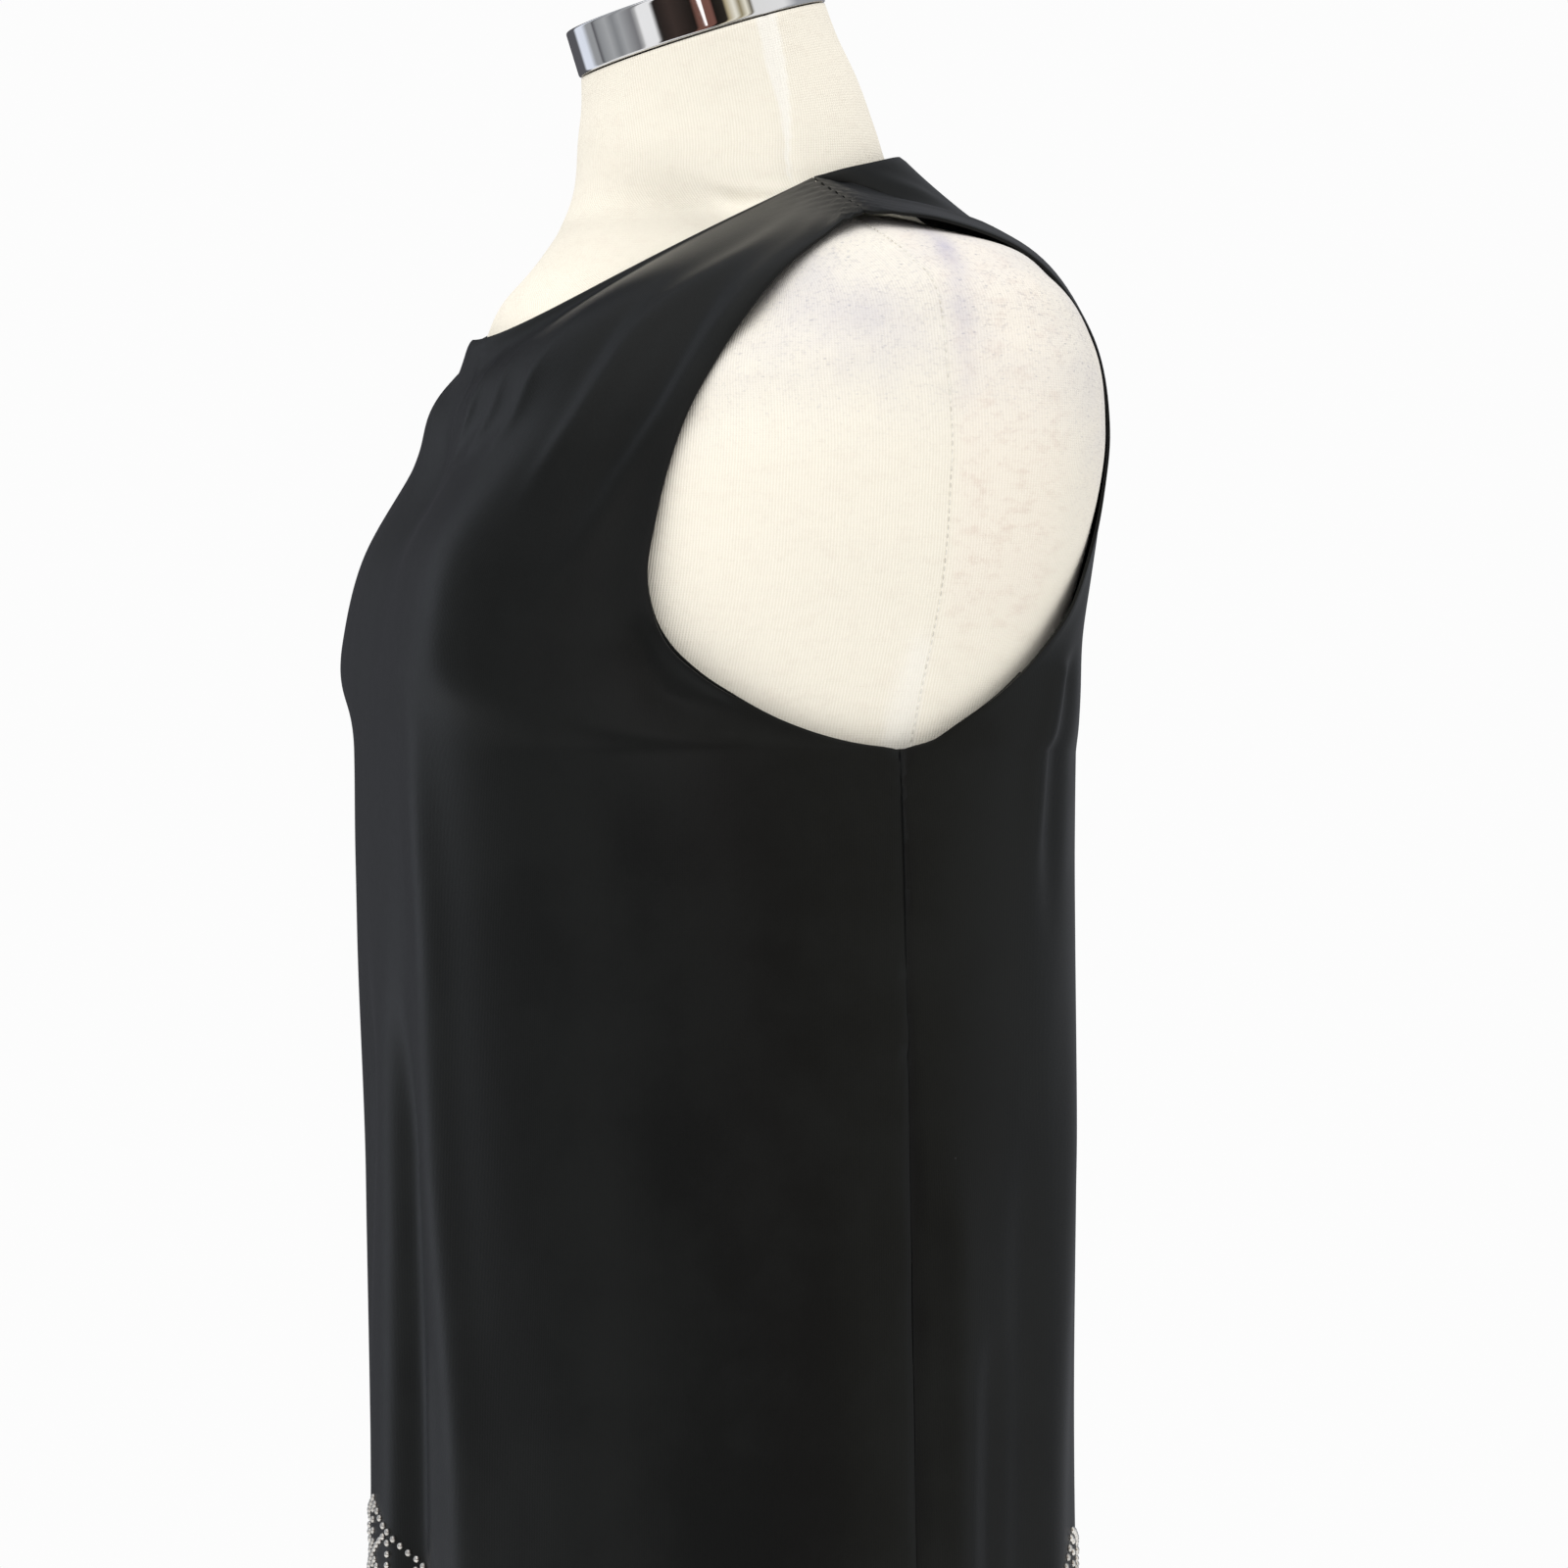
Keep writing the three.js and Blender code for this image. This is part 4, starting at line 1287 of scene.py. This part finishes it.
class DRESS_OT_stand(bpy.types.Operator):
    """Pole, socket and round foot plate"""

    bl_idname = "dress.stand"
    bl_label = "Stand"

    def execute(self, context):
        tint = tuple(context.scene.form_settings.satin)
        metal = chrome_material("stand_chrome", tint, 0.22, 0.34, 0.25)
        for node, radius_step, edge in (
            ("base_plate", 0, 2.5 * MM), ("stand_socket", 4 * MM, 2 * MM),
            ("stand_pole", 0, 0.6 * MM),
        ):
            low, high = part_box(node)
            radius, tall = high.x, high.z - low.z
            outline = [(0, 0), (radius, 0), (radius, tall), (0, tall)]
            if radius_step:
                outline = [
                    (0, 0), (radius, 0), (radius, tall * 0.14),
                    (radius - radius_step, tall * 0.24), (radius - radius_step, tall), (0, tall),
                ]
            mesh = turned(f"{node}_metal", rounded(outline, edge), 160, (0, 0, low.z))
            finish_piece(link(mesh, f"{node}_metal"), metal, node)
        return {"FINISHED"}


# --------------------------------------------------------------------------- stage


class DRESS_OT_stage(bpy.types.Operator):
    """Pale floor, soft light and the camera"""

    bl_idname = "dress.stage"
    bl_label = "Stage"

    FLOOR_RADIUS = 2.6
    SENSOR = 36  # width, in mm
    FOCAL_LENGTH = 120.15  # in mm
    SHIFT = 0.0375  # share of the frame that the dress stands left of its middle

    def floor(self, tint):
        """Round pale floor, faintly uneven in tone."""
        bm = bmesh.new()
        bmesh.ops.create_circle(bm, cap_ends=True, segments=96, radius=self.FLOOR_RADIUS)
        mesh = to_mesh("floor", bm)
        piece = link(mesh, "floor")

        def build(n):
            tone = use(n, clouds_group(), Place=object_place(n), Scale=3.0)["Tone"]
            return {"Base Color": n.mix(tone, tuple(c * 0.97 for c in tint), tint)}

        mesh.materials.append(material("floor", build, Roughness=0.6))

    def light(self, name, place, size, power):
        """Square lamp aimed at the middle of the dress."""
        lamp = bpy.data.lights.new(name, "AREA")
        lamp.shape = "RECTANGLE"
        lamp.size = lamp.size_y = size
        lamp.energy = power
        piece = link(lamp, name)
        piece.location = place
        aim = Vector((0, 0, 1.2)) - Vector(place)
        piece.rotation_euler = aim.to_track_quat("-Z", "Y").to_euler()

    def world(self):
        """White room. Metal sees a few dark and grey uprights in it, as in a real studio."""
        world = bpy.data.worlds.new("studio")
        world.use_nodes = True
        n = Nodes(world.node_tree)
        ground = world.node_tree.nodes["Background"]
        way = n.add("ShaderNodeNewGeometry").outputs["Incoming"]
        xyz = n.add("ShaderNodeSeparateXYZ", {0: way}).outputs
        away = [n.math("MULTIPLY", xyz[k], -1.0) for k in (0, 1)]
        heading = n.math("ARCTAN2", away[1], away[0])
        round_room = n.math("MULTIPLY_ADD", heading, 0.5 / math.pi, 0.5)
        ramp = n.add("ShaderNodeValToRGB", {0: round_room})
        bands = ramp.color_ramp.elements
        bands.remove(bands[-1])
        bands[0].color = (*self.UPRIGHTS[0][1], 1)
        for position, shade in self.UPRIGHTS[1:]:
            bands.new(position).color = (*shade, 1)
        path = n.add("ShaderNodeLightPath").outputs
        lit = n.mix(path["Is Glossy Ray"], (1.0, 0.99, 0.98), ramp.outputs[0])
        seen = n.mix(path["Is Camera Ray"], lit, (0.975, 0.975, 0.975))
        world.node_tree.links.new(seen, ground.inputs[0])
        ground.inputs[1].default_value = 1.0
        bpy.context.scene.world = world

    # Place round the room, from 0 to 1, and shade of what metal reflects there.
    UPRIGHTS = (
        (0.000, (0.10, 0.10, 0.11)), (0.070, (0.11, 0.11, 0.12)), (0.085, (0.85, 0.90, 1.00)),
        (0.118, (0.85, 0.90, 1.00)), (0.140, (0.36, 0.37, 0.38)), (0.162, (0.36, 0.37, 0.38)),
        (0.168, (0.12, 0.12, 0.13)), (0.180, (0.30, 0.31, 0.32)), (0.215, (0.44, 0.45, 0.46)),
        (0.240, (0.27, 0.28, 0.29)), (0.262, (0.42, 0.43, 0.44)), (0.300, (0.22, 0.22, 0.23)),
        (0.312, (0.50, 0.50, 0.50)), (0.318, (0.97, 0.97, 0.97)), (0.352, (0.97, 0.97, 0.97)),
        (0.362, (0.02, 0.016, 0.014)), (0.400, (0.05, 0.035, 0.03)),
        (0.450, (0.015, 0.012, 0.01)), (0.456, (0.18, 0.085, 0.065)), (0.494, (0.22, 0.10, 0.08)),
        (0.500, (0.015, 0.012, 0.01)), (0.524, (0.03, 0.025, 0.02)), (0.530, (0.50, 0.42, 0.26)),
        (0.548, (0.95, 0.92, 0.80)), (0.562, (0.30, 0.25, 0.14)), (0.578, (0.92, 0.88, 0.74)),
        (0.590, (0.16, 0.14, 0.10)), (0.598, (0.85, 0.85, 0.84)), (0.690, (0.88, 0.88, 0.88)),
        (0.740, (0.40, 0.41, 0.43)), (0.930, (0.28, 0.29, 0.31)), (0.970, (0.10, 0.10, 0.11)),
    )

    def execute(self, context):
        s = context.scene.stage_settings
        self.floor(tuple(s.floor))
        self.world()
        self.light("fill", (2.6, -1.2, 2.3), 1.8, 12)
        self.light("top", (0.3, -0.5, 3.2), 2.2, 12)
        lens = bpy.data.cameras.new("camera")
        lens.sensor_width = self.SENSOR
        lens.lens = self.FOCAL_LENGTH
        lens.shift_x = self.SHIFT
        lens.dof.use_dof = False
        camera = link(lens, "camera")
        out = Vector((math.sin(s.azimuth), -math.cos(s.azimuth), 0))
        camera.location = out * s.distance + Vector((0, 0, s.height))
        camera.rotation_euler = (-out).to_track_quat("-Z", "Y").to_euler()
        context.scene.camera = camera
        context.scene.view_settings.view_transform = "Standard"
        return {"FINISHED"}


class DRESS_PT_sidebar(bpy.types.Panel):
    """Sizes, colours and the buttons that build each piece"""

    bl_idname = "DRESS_PT_sidebar"
    bl_label = "Beaded Shift Dress"
    bl_space_type = "VIEW_3D"
    bl_region_type = "UI"
    bl_category = "Dress"

    def draw(self, context):
        scene = context.scene
        for title, settings in (
            ("Dress", scene.dress_settings), ("Form", scene.form_settings),
            ("Stage", scene.stage_settings),
        ):
            box = self.layout.box()
            box.label(text=title)
            for name in settings.__annotations__:
                box.prop(settings, name)
        for step in STEPS:
            self.layout.operator(step.bl_idname)


STEPS = (
    DRESS_OT_stage, DRESS_OT_form, DRESS_OT_cap, DRESS_OT_stand, DRESS_OT_panels,
    DRESS_OT_facings, DRESS_OT_beads,
)
GROUPS = {
    "dress_settings": DressSettings,
    "form_settings": FormSettings,
    "stage_settings": StageSettings,
}


def register():
    """Registers the settings, the operators and the sidebar panel."""
    for name, kind in GROUPS.items():
        bpy.utils.register_class(kind)
        setattr(bpy.types.Scene, name, bpy.props.PointerProperty(type=kind))
    for kind in (*STEPS, DRESS_PT_sidebar):
        bpy.utils.register_class(kind)


def unregister():
    """Removes what register added."""
    for kind in (DRESS_PT_sidebar, *STEPS[::-1]):
        bpy.utils.unregister_class(kind)
    for name, kind in GROUPS.items():
        delattr(bpy.types.Scene, name)
        bpy.utils.unregister_class(kind)


def main():
    """Builds everything in order."""
    register()
    for step in STEPS:
        area, name = step.bl_idname.split(".")
        getattr(getattr(bpy.ops, area), name)()


if __name__ == "__main__":
    main()
